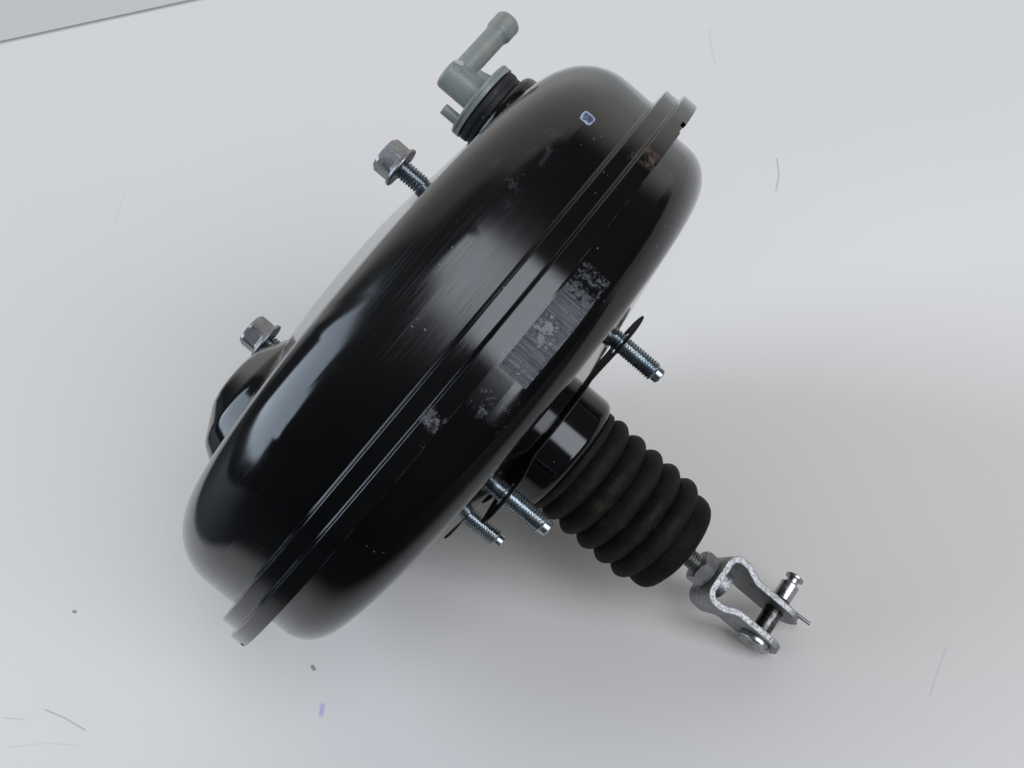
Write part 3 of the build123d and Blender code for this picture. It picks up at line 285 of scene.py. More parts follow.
def table_material():
    tree = new_tree("table_top")
    across = tree.along(ACROSS)
    away = tree.along(AWAY)
    broad = tree.noise(1.6, 3.0, 0.5)
    tone = tree.mix(tree.span(broad, 0.35, 0.65), (0.614, 0.588, 0.556), (0.640, 0.613, 0.578))
    fine = tree.noise(420.0, 2.0, 0.6)
    tone = tree.mix(tree.mul(tree.span(fine, 0.5, 0.8), 0.05), tone, (0.5, 0.5, 0.5))
    # Painted light: the bench is made paler towards the right and the near side, a painted pool of light
    side = tree.mul(
        tree.span(across, -0.03, 0.26, smooth=True), tree.span(away, 0.02, 0.42, 1.0, 0.0, smooth=True))
    tone = tree.mix(side, tone, (0.715, 0.687, 0.652))
    for pixels, half, colour, share in BENCH_MARKS:
        off = tree.line(across, away, [on_table(pixel) for pixel in pixels])
        tone = tree.mix(tree.span(off, half * 0.4, half * 1.3, share, 0.0), tone, colour)
    reached = tree.add(tree.mul(across, FAR_EDGE_SHARES[0]), tree.mul(away, FAR_EDGE_SHARES[1]))
    inward = tree.less(FAR_EDGE, reached)
    tone = tree.mix(tree.span(inward, 0.004, 0.012, 1.0, 0.0), tone, (0.20, 0.21, 0.195))
    # Past the left and near edges of the picture the bench ends and the room is dark; the sheet there is
    # painted near black, as painted shade
    left = tree.add(tree.mul(across, LEFT_SHARES[0]), tree.mul(away, LEFT_SHARES[1]))
    lit = tree.mul(tree.span(left, -0.345, -0.290, smooth=True), tree.span(away, -0.240, -0.135, smooth=True))
    tone = tree.mix(lit, (0.03, 0.03, 0.032), tone)
    tree.set("Base Color", tone)
    tree.set("Roughness", tree.span(fine, 0.3, 0.7, 0.5, 0.62))
    tree.set("Specular IOR Level", 0.25)
    tree.set("Normal", tree.bump(fine, 0.0001, 0.3))
    back = tree.node("ShaderNodeNewGeometry", out="Backfacing")
    clear = tree.node("ShaderNodeBsdfTransparent")
    both = tree.node("ShaderNodeMixShader", {0: back, 1: tree.shader.outputs[0], 2: clear})
    tree.put(tree.tree.nodes["Material Output"].inputs["Surface"], both)
    return tree.owner


def make_table():
    """Pale bench as a one-sided sheet, which can be seen through from below."""
    middle = TABLE_UP * TABLE_LEVEL
    outline = (
        (TABLE_LEFT, TABLE_NEAR), (TABLE_RIGHT, TABLE_NEAR),
        (TABLE_RIGHT, far_edge(TABLE_RIGHT)), (TABLE_LEFT, far_edge(TABLE_LEFT)))
    mesh = bpy.data.meshes.new("table")
    mesh.from_pydata([tuple(middle + ACROSS * a + AWAY * b) for a, b in outline], [], [(0, 1, 2, 3)])
    mesh.update()
    if mesh.polygons[0].normal.dot(TABLE_UP) < 0:
        mesh.flip_normals()
    mesh.materials.append(table_material())
    table = bpy.data.objects.new("table", mesh)
    bpy.context.scene.collection.objects.link(table)


make_table()


# Room light: dim, with two soft windows and pale walls

def facing(tree, turn, rise, middle, half, soft):
    """One inside a patch of directions: middle and half width in degrees, soft edges in radians."""
    sideways = tree.band(turn, math.radians(middle[0]), math.radians(half[0]), soft[0])
    upward = tree.band(rise, math.radians(middle[1]), math.radians(half[1]), soft[1])
    return tree.mul(sideways, upward)


def make_room():
    world = bpy.data.worlds.new("room")
    bpy.context.scene.world = world
    tree = Tree(world, "Generated")
    east, north, up = tree.along(ACROSS), tree.along(AWAY), tree.along(TABLE_UP)
    rise = tree.math("ARCSINE", up)
    turn = tree.math("ARCTAN2", north, east)
    # The same angle from the opposite direction, so that its seam isn't in the first window
    turn_back = tree.math("ARCTAN2", tree.mul(north, -1.0), tree.mul(east, -1.0))
    colour = tree.mix(tree.span(rise, -0.2, 1.4), (0.036, 0.040, 0.047), (0.170, 0.175, 0.185))
    left_wall = facing(tree, turn, rise, (88, 8), (40, 50), (0.22, 0.2))
    wall = tree.mix(tree.span(rise, -0.12, 0.08), (0.50, 0.53, 0.55), (0.78, 0.76, 0.735))
    colour = tree.mix(left_wall, colour, wall)
    right_wall = facing(tree, turn, rise, (28, -30), (30, 33), (0.25, 0.08))
    colour = tree.mix(tree.mul(right_wall, 0.85), colour, (0.62, 0.62, 0.63))
    # The camera sees the panes no brighter than white paper
    looked_at = tree.node("ShaderNodeLightPath", out="Is Camera Ray")
    first = facing(tree, turn_back, rise, (-3, 26), (19, 20), (0.06, 0.06))
    colour = tree.mix(first, colour, tree.mix(looked_at, (3.9, 4.6, 5.5), (0.62, 0.66, 0.70)))
    second = facing(tree, turn, rise, (-46, 44), (18, 21), (0.14, 0.12))
    colour = tree.mix(second, colour, tree.mix(looked_at, (5.6, 5.9, 6.5), (0.66, 0.68, 0.71)))
    tree.put(world.node_tree.nodes["Background"].inputs["Color"], colour)


make_room()


# Materials. Colours are linear, and noise scales are per metre. Places on the shells are in metres along
# the axis and in radians about it

class Coat:
    """Colour, roughness and relief of a coat of paint, built up mark by mark."""

    def __init__(self, tree, colour, rough, relief):
        self.tree = tree
        self.colour = colour
        self.rough = rough
        self.relief = relief

    def tint(self, share, colour):
        self.colour = self.tree.mix(share, self.colour, colour)

    def dull(self, amount):
        self.rough = self.tree.add(self.rough, amount)

    def finish(self, share, rough):
        self.rough = self.tree.fade(share, self.rough, rough)

    def lift(self, height):
        self.relief = self.tree.add(self.relief, height)


def ring_lines(tree, place):
    """Fine uneven lines that run round the axis."""
    x, angle, radius = place
    ring = tree.join(tree.mul(x, 2600.0), tree.mul(angle, 3.0), tree.mul(radius, 2600.0))
    return tree.noise(1.0, 3.0, 0.7, vector=ring)


def worn_paint(tree, place, lines):
    """Glossy black dip paint with fine scratches round the rim, dust and rubbed edges."""
    cloud = tree.noise(28.0, 4.0, 0.6)
    colour = tree.mix(tree.span(cloud, 0.35, 0.7), (0.0018, 0.0018, 0.0021), (0.0034, 0.0032, 0.0031))
    rubbed = tree.mul(tree.span(tree.noise(16.0, 2.0, 0.5), 0.42, 0.62), tree.span(place[2], 0.105, 0.122))
    scratch = tree.mul(tree.span(lines, 0.56, 0.72), rubbed)
    coat = Coat(tree, colour, tree.span(cloud, 0.3, 0.75, 0.065, 0.12), tree.mul(scratch, -0.25))
    coat.dull(tree.mul(scratch, 0.20))
    coat.tint(tree.mul(scratch, 0.16), (0.030, 0.032, 0.035))
    speck = tree.mul(
        tree.span(tree.cells(310.0), 0.05, 0.12, 1.0, 0.0), tree.span(tree.noise(90.0, 1.0, 0.5), 0.60, 0.66))
    coat.tint(tree.mul(speck, 0.5), (0.28, 0.28, 0.27))
    coat.dull(tree.mul(speck, 0.35))
    worn = tree.mul(tree.edges(0.0007, 0.03, 0.22), tree.span(tree.noise(120.0, 3.0, 0.7), 0.45, 0.62))
    coat.tint(tree.mul(worn, 0.5), (0.10, 0.10, 0.105))
    return coat


# Lances of the crimp with marks: place along the axis, and angle
SILVER_LANCE = (-0.0352, math.radians(-25.8))
RUSTY_LANCE = (-0.0358, math.radians(20.8))


def lance_marks(tree, coat, place):
    """Bare silvery metal round one lance and rust round another."""
    x, angle, radius = place
    grit = tree.noise(700.0, 4.0, 0.75)
    bite = tree.noise(260.0, 4.0, 0.75)
    silver = tree.mul(
        tree.band(angle, SILVER_LANCE[1], 0.012, 0.016), tree.band(x, SILVER_LANCE[0], 0.0024, 0.0016),
        tree.span(bite, 0.50, 0.56))
    coat.tint(silver, tree.mix(tree.span(grit, 0.42, 0.62), (0.006, 0.006, 0.007), (0.12, 0.12, 0.125)))
    coat.finish(silver, tree.span(grit, 0.3, 0.7, 0.4, 0.7))
    rust = tree.mul(
        tree.band(angle, RUSTY_LANCE[1], 0.020, 0.024), tree.band(x, RUSTY_LANCE[0], 0.0026, 0.0024),
        tree.span(bite, 0.47, 0.60))
    tone = tree.mix(tree.span(grit, 0.4, 0.6), (0.045, 0.022, 0.014), (0.11, 0.075, 0.055))
    coat.tint(tree.mul(rust, 0.7), tone)
    coat.finish(rust, 0.7)
    coat.lift(tree.mul(tree.add(silver, rust), tree.mul(bite, 1.8)))


DAB_PLACE, DAB_ANGLE = -0.0578, 0.4293
DAB_HALF_LONG, DAB_HALF_TURN = 0.0022, 0.025


def marking_dab(tree, coat, place):
    """Small pale blue dab of marking paint with rounded corners and a darker core."""
    def beyond(value, middle, half):
        share = tree.mul(tree.less(value, middle), 1 / half)
        return tree.math("POWER", tree.math("ABSOLUTE", share), 4.0)

    x, angle, radius = place
    shape = tree.add(beyond(x, DAB_PLACE, DAB_HALF_LONG), beyond(angle, DAB_ANGLE, DAB_HALF_TURN))
    spot = tree.add(shape, tree.span(tree.noise(420.0, 4.0, 0.8), 0.3, 0.7, -0.4, 0.4))
    core = tree.span(spot, 0.20, 0.42, 1.0, 0.0)
    dab = tree.mul(tree.span(spot, 0.8, 1.1, 1.0, 0.0), tree.span(tree.noise(500.0, 3.0, 0.7), 0.36, 0.44))
    coat.tint(tree.mul(dab, 0.85), tree.mix(core, (0.40, 0.46, 0.58), (0.060, 0.085, 0.17)))
    coat.finish(dab, 0.5)


CREASE_RADIUS = 0.118
# Along the axis and round it at that radius, both in metres
CREASES = (
    ((-0.0649, -0.0859), (-0.0629, -0.0614)),
    ((-0.0776, -0.0558), (-0.0684, -0.0404), (-0.0647, -0.0264), (-0.0620, -0.0103)),
)


def press_creases(tree, coat, place):
    """Creases that the press left in the dome."""
    x, angle, radius = place
    run = tree.mul(angle, CREASE_RADIUS)
    near, far = (tree.line(x, run, points) for points in CREASES)
    coat.lift(tree.span(tree.math("MINIMUM", near, far), 0.0, 0.0045, 7.0, 0.0, smooth=True))


def dome_wear(tree, coat, place, lines):
    """Brushed zone on the dome's side, and dull scuffs on its shoulder."""
    x, angle, radius = place
    brushed = tree.mul(
        tree.band(angle, math.radians(-9.0), 0.22, 0.20),
        tree.mul(tree.span(radius, 0.108, 0.116), tree.span(radius, 0.1265, 0.1285, 1.0, 0.0)),
        tree.span(lines, 0.25, 0.7, 0.55, 1.3))
    coat.dull(tree.mul(brushed, 0.13))
    scuff = tree.mul(
        tree.band(angle, math.radians(10.0), 0.09, 0.10), tree.band(x, -0.0655, 0.004, 0.006),
        tree.span(tree.noise(60.0, 5.0, 0.8, distort=1.5), 0.55, 0.66))
    coat.dull(tree.mul(scuff, 0.25))
    coat.tint(tree.mul(scuff, 0.4), (0.05, 0.05, 0.055))


STICKER_PLACE, STICKER_HALF_WIDTH = -0.0253, 0.0049
STICKER_ANGLE, STICKER_HALF_TURN = math.radians(-5.5), 0.172


def sticker_patch(tree, coat, place):
    """Place where a sticker was, worn to a dull grey with fine lines across it."""
    x, angle, radius = place
    patch = tree.mul(
        tree.band(x, STICKER_PLACE, STICKER_HALF_WIDTH, 0.0004),
        tree.band(angle, STICKER_ANGLE, STICKER_HALF_TURN, 0.004))
    wear = tree.noise(460.0, 5.0, 0.85, distort=0.5)
    torn_end = tree.span(angle, math.radians(-1.5), math.radians(1.0))
    torn_middle = tree.mul(
        tree.band(angle, math.radians(-7.5), 0.016, 0.030), tree.band(x, -0.0262, 0.002, 0.003))
    torn = tree.math("MAXIMUM", torn_end, torn_middle)
    share = tree.mul(patch, tree.span(tree.add(wear, tree.mul(torn, 0.13)), 0.55, 0.61, 1.0, 0.0))
    strokes = tree.noise(1.0, 2.0, 0.8, vector=tree.join(tree.mul(angle, 250.0), tree.mul(x, 12.0), 0.0))
    dark = tree.mul(tree.span(strokes, 0.44, 0.50), tree.span(wear, 0.42, 0.60, 1.0, 0.45))
    grey = tree.mix(
        tree.span(tree.noise(45.0, 4.0, 0.6), 0.3, 0.7), (0.055, 0.061, 0.069), (0.125, 0.136, 0.150))
    coat.tint(share, tree.mix(tree.mul(dark, 0.8), grey, (0.012, 0.014, 0.018)))
    coat.finish(tree.mul(share, 0.9), 0.42)
    faint = tree.mul(tree.band(x, -0.0245, 0.006, 0.003), tree.band(angle, math.radians(-19.5), 0.035, 0.03))
    crumbs = tree.mul(faint, tree.span(tree.noise(330.0, 5.0, 0.8), 0.56, 0.62))
    coat.tint(tree.mul(crumbs, 0.55), (0.16, 0.165, 0.17))
    coat.dull(tree.mul(faint, 0.12))
    coat.lift(tree.mul(share, tree.span(strokes, 0.42, 0.58, -2.4, 0.6)))


def black_paint(name, front):
    """Black paint of one shell, with the marks of use that the photograph shows on it."""
    tree = new_tree(name)
    place = tree.polar()
    lines = ring_lines(tree, place)
    coat = worn_paint(tree, place, lines)
    if front:
        lance_marks(tree, coat, place)
        marking_dab(tree, coat, place)
        press_creases(tree, coat, place)
        dome_wear(tree, coat, place, lines)
    else:
        sticker_patch(tree, coat, place)
    tree.set("Base Color", coat.colour)
    tree.set("Roughness", coat.rough)
    tree.set("Specular IOR Level", 0.40)
    peel = tree.mul(tree.noise(900.0, 2.0, 0.5), 0.12)
    tree.set("Normal", tree.bump(tree.add(peel, coat.relief), 0.00006, 0.5))
    return tree.owner


def steel(name, dark, light, rough=(0.28, 0.5), grain=900.0, stain=None, spots=0.0, relief=0.55):
    """Bare or plated steel: mottled tone, fine grain, and a painted highlight that lightens the sharp edges.
    """
    tree = new_tree(name)
    mottle = tree.noise(140.0, 5.0, 0.65)
    fine = tree.noise(grain, 4.0, 0.7)
    colour = tree.mix(tree.span(mottle, 0.3, 0.7), dark, light)
    if stain:
        stained = tree.span(tree.noise(70.0, 4.0, 0.7), 0.50, 0.68)
        colour = tree.mix(tree.mul(stained, 0.7), colour, stain)
    # Painted highlight: sharp edges and thread crests are lightened
    edge_highlight = tree.edges(0.0003, 0.03, 0.3)
    colour = tree.mix(tree.mul(edge_highlight, 0.5), colour, tuple(min(1.0, c * 1.35 + 0.06) for c in light))
    if spots:
        spot = tree.span(tree.noise(420.0, 3.0, 0.8), 0.62, 0.68)
        colour = tree.mix(tree.mul(spot, spots), colour, (0.05, 0.045, 0.04))
    tree.set("Base Color", colour)
    tree.set("Metallic", 1.0)
    blend = tree.add(tree.mul(fine, 0.6), tree.mul(mottle, 0.4))
    tree.set("Roughness", tree.span(blend, 0.35, 0.65, rough[0], rough[1]))
    tree.set("Normal", tree.bump(fine, 0.00008, relief))
    return tree.owner


# Direction of the clevis pin, as an angle about the axis
PIN_TURN = math.radians(92.0)


def strap(name):
    """Galvanised strap: dull mottled faces, bright torn metal on the sheared edges, and a painted highlight
    along the sharp edges.
    """
    tree = new_tree(name)
    mottle = tree.noise(170.0, 5.0, 0.7)
    fine = tree.noise(600.0, 4.0, 0.75)
    face = tree.mix(tree.span(mottle, 0.3, 0.7), (0.20, 0.205, 0.21), (0.37, 0.375, 0.385))
    dirt = tree.span(tree.noise(320.0, 4.0, 0.8), 0.58, 0.66)
    face = tree.mix(tree.mul(dirt, 0.5), face, (0.07, 0.065, 0.06))
    normal = tree.node("ShaderNodeNewGeometry", out="Normal")
    sideways = tree.along((0.0, -math.sin(PIN_TURN), math.cos(PIN_TURN)), normal)
    cut = tree.span(tree.math("ABSOLUTE", sideways), 0.80, 0.93)
    torn = tree.noise(950.0, 4.0, 0.8)
    shear = tree.mix(tree.span(torn, 0.38, 0.62), (0.13, 0.13, 0.13), (0.62, 0.62, 0.62))
    tone = tree.mix(cut, face, shear)
    # Painted highlight: sharp edges are lightened
    edge_highlight = tree.edges(0.0003, 0.03, 0.3)
    tone = tree.mix(tree.mul(edge_highlight, 0.55), tone, (0.66, 0.66, 0.66))
    tree.set("Base Color", tone)
    tree.set("Metallic", 0.9)
    rough = tree.fade(cut, tree.span(fine, 0.35, 0.65, 0.40, 0.60), tree.span(torn, 0.3, 0.7, 0.35, 0.62))
    tree.set("Roughness", rough)
    height = tree.add(tree.mul(fine, 0.4), tree.mul(cut, torn, 2.2))
    tree.set("Normal", tree.bump(height, 0.00016, 0.7))
    return tree.owner


PIN_MIDDLE_HALF = 0.0085


def pin_with_painted_shade(name):
    """Turned pin, polished where it shows, with painted shade and a painted dark reflection between the ears.
    """
    tree = new_tree(name)
    x, y, z = tree.split()
    out = tree.add(tree.mul(y, math.cos(PIN_TURN)), tree.mul(z, math.sin(PIN_TURN)))
    blotches = tree.span(tree.noise(260.0, 4.0, 0.7), 0.40, 0.62)
    rings = tree.noise(1.0, 2.0, 0.6, vector=tree.join(tree.mul(out, 5200.0), tree.mul(x, 60.0), 0.0))
    tone = tree.mix(tree.span(rings, 0.3, 0.7), (0.30, 0.30, 0.30), (0.50, 0.50, 0.495))
    # Painted shade and dark reflection: the middle between the ears is darkened, with blotches
    painted_shade_between_ears = tree.mul(tree.band(out, 0.0, PIN_MIDDLE_HALF, 0.001), tree.span(blotches, 0.0, 1.0, 0.72, 1.0))
    tone = tree.mix(painted_shade_between_ears, tone, (0.030, 0.027, 0.024))
    stain = tree.span(tree.noise(190.0, 3.0, 0.6), 0.52, 0.62)
    tone = tree.mix(tree.mul(stain, 0.7), tone, (0.06, 0.055, 0.05))
    tree.set("Base Color", tone)
    tree.set("Metallic", 1.0)
    tree.set("Roughness", tree.span(rings, 0.3, 0.7, 0.20, 0.36))
    tree.set("Normal", tree.bump(tree.add(rings, blotches), 0.00004, 0.5))
    return tree.owner


def boot_rubber():
    """Dull rubber with a dusty bloom, brown in the grooves, and mould texture."""
    tree = new_tree("boot_rubber")
    x, angle, radius = tree.polar()
    bloom = tree.noise(55.0, 5.0, 0.7)
    fine = tree.noise(1300.0, 3.0, 0.6)
    colour = tree.mix(tree.span(bloom, 0.35, 0.7), (0.0070, 0.0066, 0.0060), (0.0135, 0.0125, 0.0110))
    groove = tree.span(radius, 0.0214, 0.0232, 1.0, 0.0)
    dust = tree.span(tree.noise(240.0, 4.0, 0.75), 0.46, 0.62)
    colour = tree.mix(tree.mul(groove, dust, 0.3), colour, (0.045, 0.037, 0.026))
    crest = tree.mul(tree.span(radius, 0.0243, 0.0250), tree.span(tree.noise(300.0, 4.0, 0.7), 0.5, 0.65))
    colour = tree.mix(tree.mul(crest, 0.4), colour, (0.030, 0.028, 0.025))
    side = tree.band(angle, math.radians(-55.0), 0.5, 0.6)
    round_way = tree.join(tree.mul(x, 300.0), tree.mul(angle, 4.0), tree.mul(radius, 120.0))
    streak = tree.span(tree.noise(1.0, 5.0, 0.75, vector=round_way), 0.50, 0.70)
    patchy = tree.span(tree.noise(60.0, 4.0, 0.7), 0.42, 0.62, 0.14, 0.50)
    colour = tree.mix(tree.mul(side, streak, patchy), colour, (0.066, 0.053, 0.034))
    rounded_end = tree.span(x, 0.066, 0.074, 0.0, 0.62)
    colour = tree.mix(rounded_end, colour, (0.0022, 0.0021, 0.0020))
    tree.set("Base Color", colour)
    tree.set("Roughness", tree.span(bloom, 0.3, 0.7, 0.55, 0.72))
    tree.set("Specular IOR Level", 0.09)
    tree.set("Normal", tree.bump(tree.add(tree.mul(fine, 0.5), tree.mul(bloom, 1.2)), 0.00015, 0.5))
    return tree.owner


def rubber(name, tone, rough, speck=0.0, scale=700.0):
    """Plain black rubber with a fine surface and, where asked, light specks of dirt."""
    tree = new_tree(name)
    cloud = tree.noise(90.0, 4.0, 0.65)
    fine = tree.noise(scale, 3.0, 0.6)
    colour = tree.mix(tree.span(cloud, 0.35, 0.7), tone, tuple(c * 1.9 + 0.003 for c in tone))
    if speck:
        dirt = tree.span(tree.noise(520.0, 3.0, 0.8), 0.66, 0.70)
        colour = tree.mix(tree.mul(dirt, speck), colour, (0.45, 0.45, 0.43))
    tree.set("Base Color", colour)
    tree.set("Roughness", tree.span(fine, 0.3, 0.7, rough[0], rough[1]))
    tree.set("Specular IOR Level", 0.3)
    tree.set("Normal", tree.bump(fine, 0.0001, 0.5))
    return tree.owner


def moulded(name, low, high, stain=None, fleck=None):
    """Moulded plastic: soft clouding, fine orange peel, stains and flecks."""
    tree = new_tree(name)
    cloud = tree.noise(60.0, 4.0, 0.6)
    peel = tree.noise(1500.0, 2.0, 0.5)
    colour = tree.mix(tree.span(cloud, 0.3, 0.7), low, high)
    if stain:
        stained = tree.span(tree.noise(85.0, 4.0, 0.7), 0.52, 0.70)
        colour = tree.mix(tree.mul(stained, 0.55), colour, stain)
    if fleck:
        flecked = tree.span(tree.noise(480.0, 4.0, 0.8), 0.60, 0.66)
        colour = tree.mix(tree.mul(flecked, 0.5), colour, fleck)
    tree.set("Base Color", colour)
    tree.set("Roughness", tree.span(cloud, 0.3, 0.7, 0.38, 0.52))
    tree.set("Normal", tree.bump(tree.add(peel, tree.mul(cloud, 2.0)), 0.00005, 0.5))
    return tree.owner


def valve_plastic(name):
    """Grey-green plastic of the check valve, stained yellowish."""
    return moulded(name, (0.165, 0.182, 0.172), (0.225, 0.243, 0.228),
                   stain=(0.250, 0.235, 0.165), fleck=(0.36, 0.38, 0.37))


# Places on the hose elbow, in metres, read off the photograph
GATE = (-0.11098, -0.05019, 0.07558)
EJECTOR_RING = (-0.10937, -0.05131, 0.07250)


def elbow_plastic():
    """Valve plastic with the pale oval where the mould was filled, and an ejector ring beside it."""
    made = valve_plastic("valve_plastic_elbow")
    tree = Tree(made)
    colour = tree.shader.inputs["Base Color"].links[0].from_socket
    ragged = tree.add(tree.distance(GATE), tree.mul(tree.noise(700.0, 3.0, 0.7), 0.0007))
    colour = tree.mix(tree.mul(tree.span(ragged, 0.0021, 0.0026, 1.0, 0.0), 0.75), colour, (0.46, 0.48, 0.47))
    ring = tree.band(tree.distance(EJECTOR_RING), 0.0017, 0.0001, 0.0003)
    tree.set("Base Color", tree.mix(tree.mul(ring, 0.5), colour, (0.06, 0.07, 0.065)))
    return made


def foam(name):
    """Open-celled grey foam."""
    tree = new_tree(name)
    cells = tree.cells(1500.0)
    tree.set("Base Color", tree.mix(tree.span(cells, 0.1, 0.6), (0.03, 0.03, 0.028), (0.16, 0.16, 0.15)))
    tree.set("Roughness", tree.span(cells, 0.0, 1.0, 0.85, 0.98))
    tree.set("Normal", tree.bump(cells, 0.0004, 0.9))
    return tree.owner


SLOTS = {
    "zinc_steel": steel("zinc_steel", (0.25, 0.29, 0.315), (0.47, 0.52, 0.55), (0.20, 0.36), 1200.0,
                        stain=(0.33, 0.34, 0.31), relief=0.15),
    "dark_steel": steel("dark_steel", (0.20, 0.20, 0.20), (0.40, 0.40, 0.395), (0.36, 0.58), 700.0,
                        spots=0.5),
    "strap_steel": strap("strap_steel"),
    "polished_steel": steel("polished_steel", (0.50, 0.50, 0.50), (0.72, 0.72, 0.72), (0.14, 0.30), 1500.0,
                            stain=(0.30, 0.28, 0.25)),
    "spring_steel": steel("spring_steel", (0.12, 0.12, 0.12), (0.30, 0.30, 0.30), (0.28, 0.48)),
    "boot_rubber": boot_rubber(),
    "seal_rubber": rubber("seal_rubber", (0.010, 0.010, 0.010), (0.42, 0.62)),
    "gasket_sheet": rubber("gasket_sheet", (0.008, 0.008, 0.009), (0.5, 0.7), scale=500.0),
    "valve_plastic": valve_plastic("valve_plastic"),
    "piston_plastic": moulded("piston_plastic", (0.020, 0.014, 0.010), (0.040, 0.028, 0.020),
                              fleck=(0.07, 0.06, 0.05)),
    "filter_foam": foam("filter_foam"),
}
ROD_STEEL = steel("rod_steel", (0.20, 0.20, 0.195), (0.38, 0.38, 0.37), (0.30, 0.5),
                  stain=(0.16, 0.15, 0.13), spots=0.3)
GROMMET_RUBBER = rubber("grommet_rubber", (0.010, 0.010, 0.010), (0.5, 0.7), speck=0.9)

# CAD nodes with a finish of their own; the others take the one of their slot
OWN_FINISH = {
    "front_shell": black_paint("black_paint_front", True),
    "rear_shell": black_paint("black_paint_rear", False),
    "clevis_pin": pin_with_painted_shade("pin_steel"),
    "lock_nut": steel("lock_nut_steel", (0.26, 0.265, 0.265), (0.46, 0.465, 0.46), (0.30, 0.5), 600.0,
                      stain=(0.20, 0.19, 0.17), spots=0.4),
}
for subpart in frame["record"]["subparts"]:
    finish = OWN_FINISH.get(subpart["node"]) or SLOTS[subpart["material_slot"]]
    materials = NODES[subpart["node"]].data.materials
    materials.clear()
    materials.append(finish)


# Small helpers for meshes, in millimetres in the row frame

def piece(name, points, faces, material, body, slot, stands_for=(), crease=35.0):
    mesh = bpy.data.meshes.new(name)
    mesh.from_pydata([(x * MM, y * MM, z * MM) for x, y, z in points], [], faces)
    mesh.update()
    work = bmesh.new()
    work.from_mesh(mesh)
    bmesh.ops.recalc_face_normals(work, faces=work.faces)
    work.to_mesh(mesh)
    work.free()
    mesh.shade_smooth()
    mesh.set_sharp_from_angle(angle=math.radians(crease))
    mesh.materials.append(material)
    made = bpy.data.objects.new(name, mesh)
    bpy.context.scene.collection.objects.link(made)
    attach(made, body)
    if stands_for:
        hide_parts(*stands_for)
    return made


def turned(outline, segments, middle=(0.0, 0.0), shape=None, loop=False):
    """Points and faces of an outline of (place, radius) pairs turned about a line through the middle.

    shape may bend each point, and a loop closes on itself.
    """
    points, rows = [], []
    for place, radius in outline:
        on_axis = radius < 1e-6
        row = []
        for step in range(1 if on_axis else segments):
            angle = 2 * math.pi * step / segments
            a, r = (place, radius) if shape is None else shape(place, radius, angle)
            if on_axis:
                r = 0.0
            row.append(len(points))
            points.append(Vector((a, middle[0] + r * math.cos(angle), middle[1] + r * math.sin(angle))))
        rows.append(row)
    faces = []
    for low, high in zip(rows, rows[1:] + rows[:1] if loop else rows[1:]):
        if len(low) == 1 and len(high) == 1:
            continue
        for step in range(segments):
            after = (step + 1) % segments
            if len(low) == 1:
                faces.append((low[0], high[step], high[after]))
            elif len(high) == 1:
                faces.append((low[step], high[0], low[after]))
            else:
                faces.append((low[step], high[step], high[after], low[after]))
    return points, faces


def several(parts):
    """Joins several sets of points and faces."""
    points, faces = [], []
    for more, sides in parts:
        base = len(points)
        points.extend(more)
        faces.extend(tuple(i + base for i in side) for side in sides)
    return points, faces


# M8 threads of the studs and the rod
CREST = 3.98
PITCH = 1.25
THREAD_DEPTH = 0.66
THREAD_ROWS = 8
FLANK_START, FLANK_SHARE = 0.14, 0.72
THREAD_START = 0.1


def thread_outline(front, back):
    """Rows of an outline close enough together to carry a thread."""
    count = max(2, round((back - front) / PITCH * THREAD_ROWS))
    return [(front + (back - front) * i / count, CREST) for i in range(count + 1)]


def threaded(front, back, run_in, run_out):
    """Shape that cuts a thread between two places, and runs it in and out over shares of a turn."""
    def shape(place, radius, angle):
        if place < front - 1e-6 or place > back + 1e-6:
            return place, radius
        turn = (place / PITCH - angle / (2 * math.pi)) % 1.0
        crest = abs(2 * turn - 1)
        flank = min(1.0, max(0.0, (crest - FLANK_START) / FLANK_SHARE))
        fade = min(1.0, (place - front) / (run_in * PITCH + 1e-9), (back - place) / (run_out * PITCH + 1e-9))
        return place, radius - THREAD_DEPTH * (1 - flank) * max(0.0, fade)
    return shape


def hexagon(flats, front, back):
    """Shape that trims a round outline to a hexagon between two places along the axis."""
    def shape(place, radius, angle):
        if front <= place <= back:
            part = angle % (math.pi / 3) - math.pi / 6
            radius = min(radius, flats / 2 / math.cos(part))
        return place, radius
    return shape


# Studs with round heads inside the shells

FIREWALL_STUDS = [(y, z) for y in (-33.0, 33.0) for z in (-38.0, 38.0)]
STUD_HEAD, HEAD_THICK = 7.0, 3.0
STUD_NECK = 4.4
STUD_SEGMENTS = 48
STUD_POINT, POINT_RADIUS = 3.6, 3.1


def firewall_studs():
    """Four studs with rolled threads and plain dog points."""
    front, tip = reach("firewall_studs")
    thread_end = tip - STUD_POINT
    head_back = front + HEAD_THICK
    outline = [(front, 0.0), (front, STUD_HEAD), (head_back, STUD_HEAD), (head_back, STUD_NECK)]
    outline += [(0.0, STUD_NECK)] + thread_outline(THREAD_START, thread_end)
    outline += [(tip - 2.9, POINT_RADIUS), (tip - 0.6, POINT_RADIUS), (tip, POINT_RADIUS - 0.5), (tip, 0.0)]
    shape = threaded(THREAD_START, thread_end, 0.6, 0.3)
    studs = [turned(outline, STUD_SEGMENTS, middle, shape) for middle in FIREWALL_STUDS]
    piece("firewall_studs_threaded", *several(studs), SLOTS["zinc_steel"], "housing", "zinc_steel",
          ["firewall_studs"])


firewall_studs()

CYLINDER_STUD_OFFSET = 46.0
CYLINDER_STUD_TURN = math.radians(126.4)
CYLINDER_FACE = -91.0
CYLINDER_STUDS = [
    (side * CYLINDER_STUD_OFFSET * math.cos(CYLINDER_STUD_TURN),
     side * CYLINDER_STUD_OFFSET * math.sin(CYLINDER_STUD_TURN)) for side in (-1, 1)
]


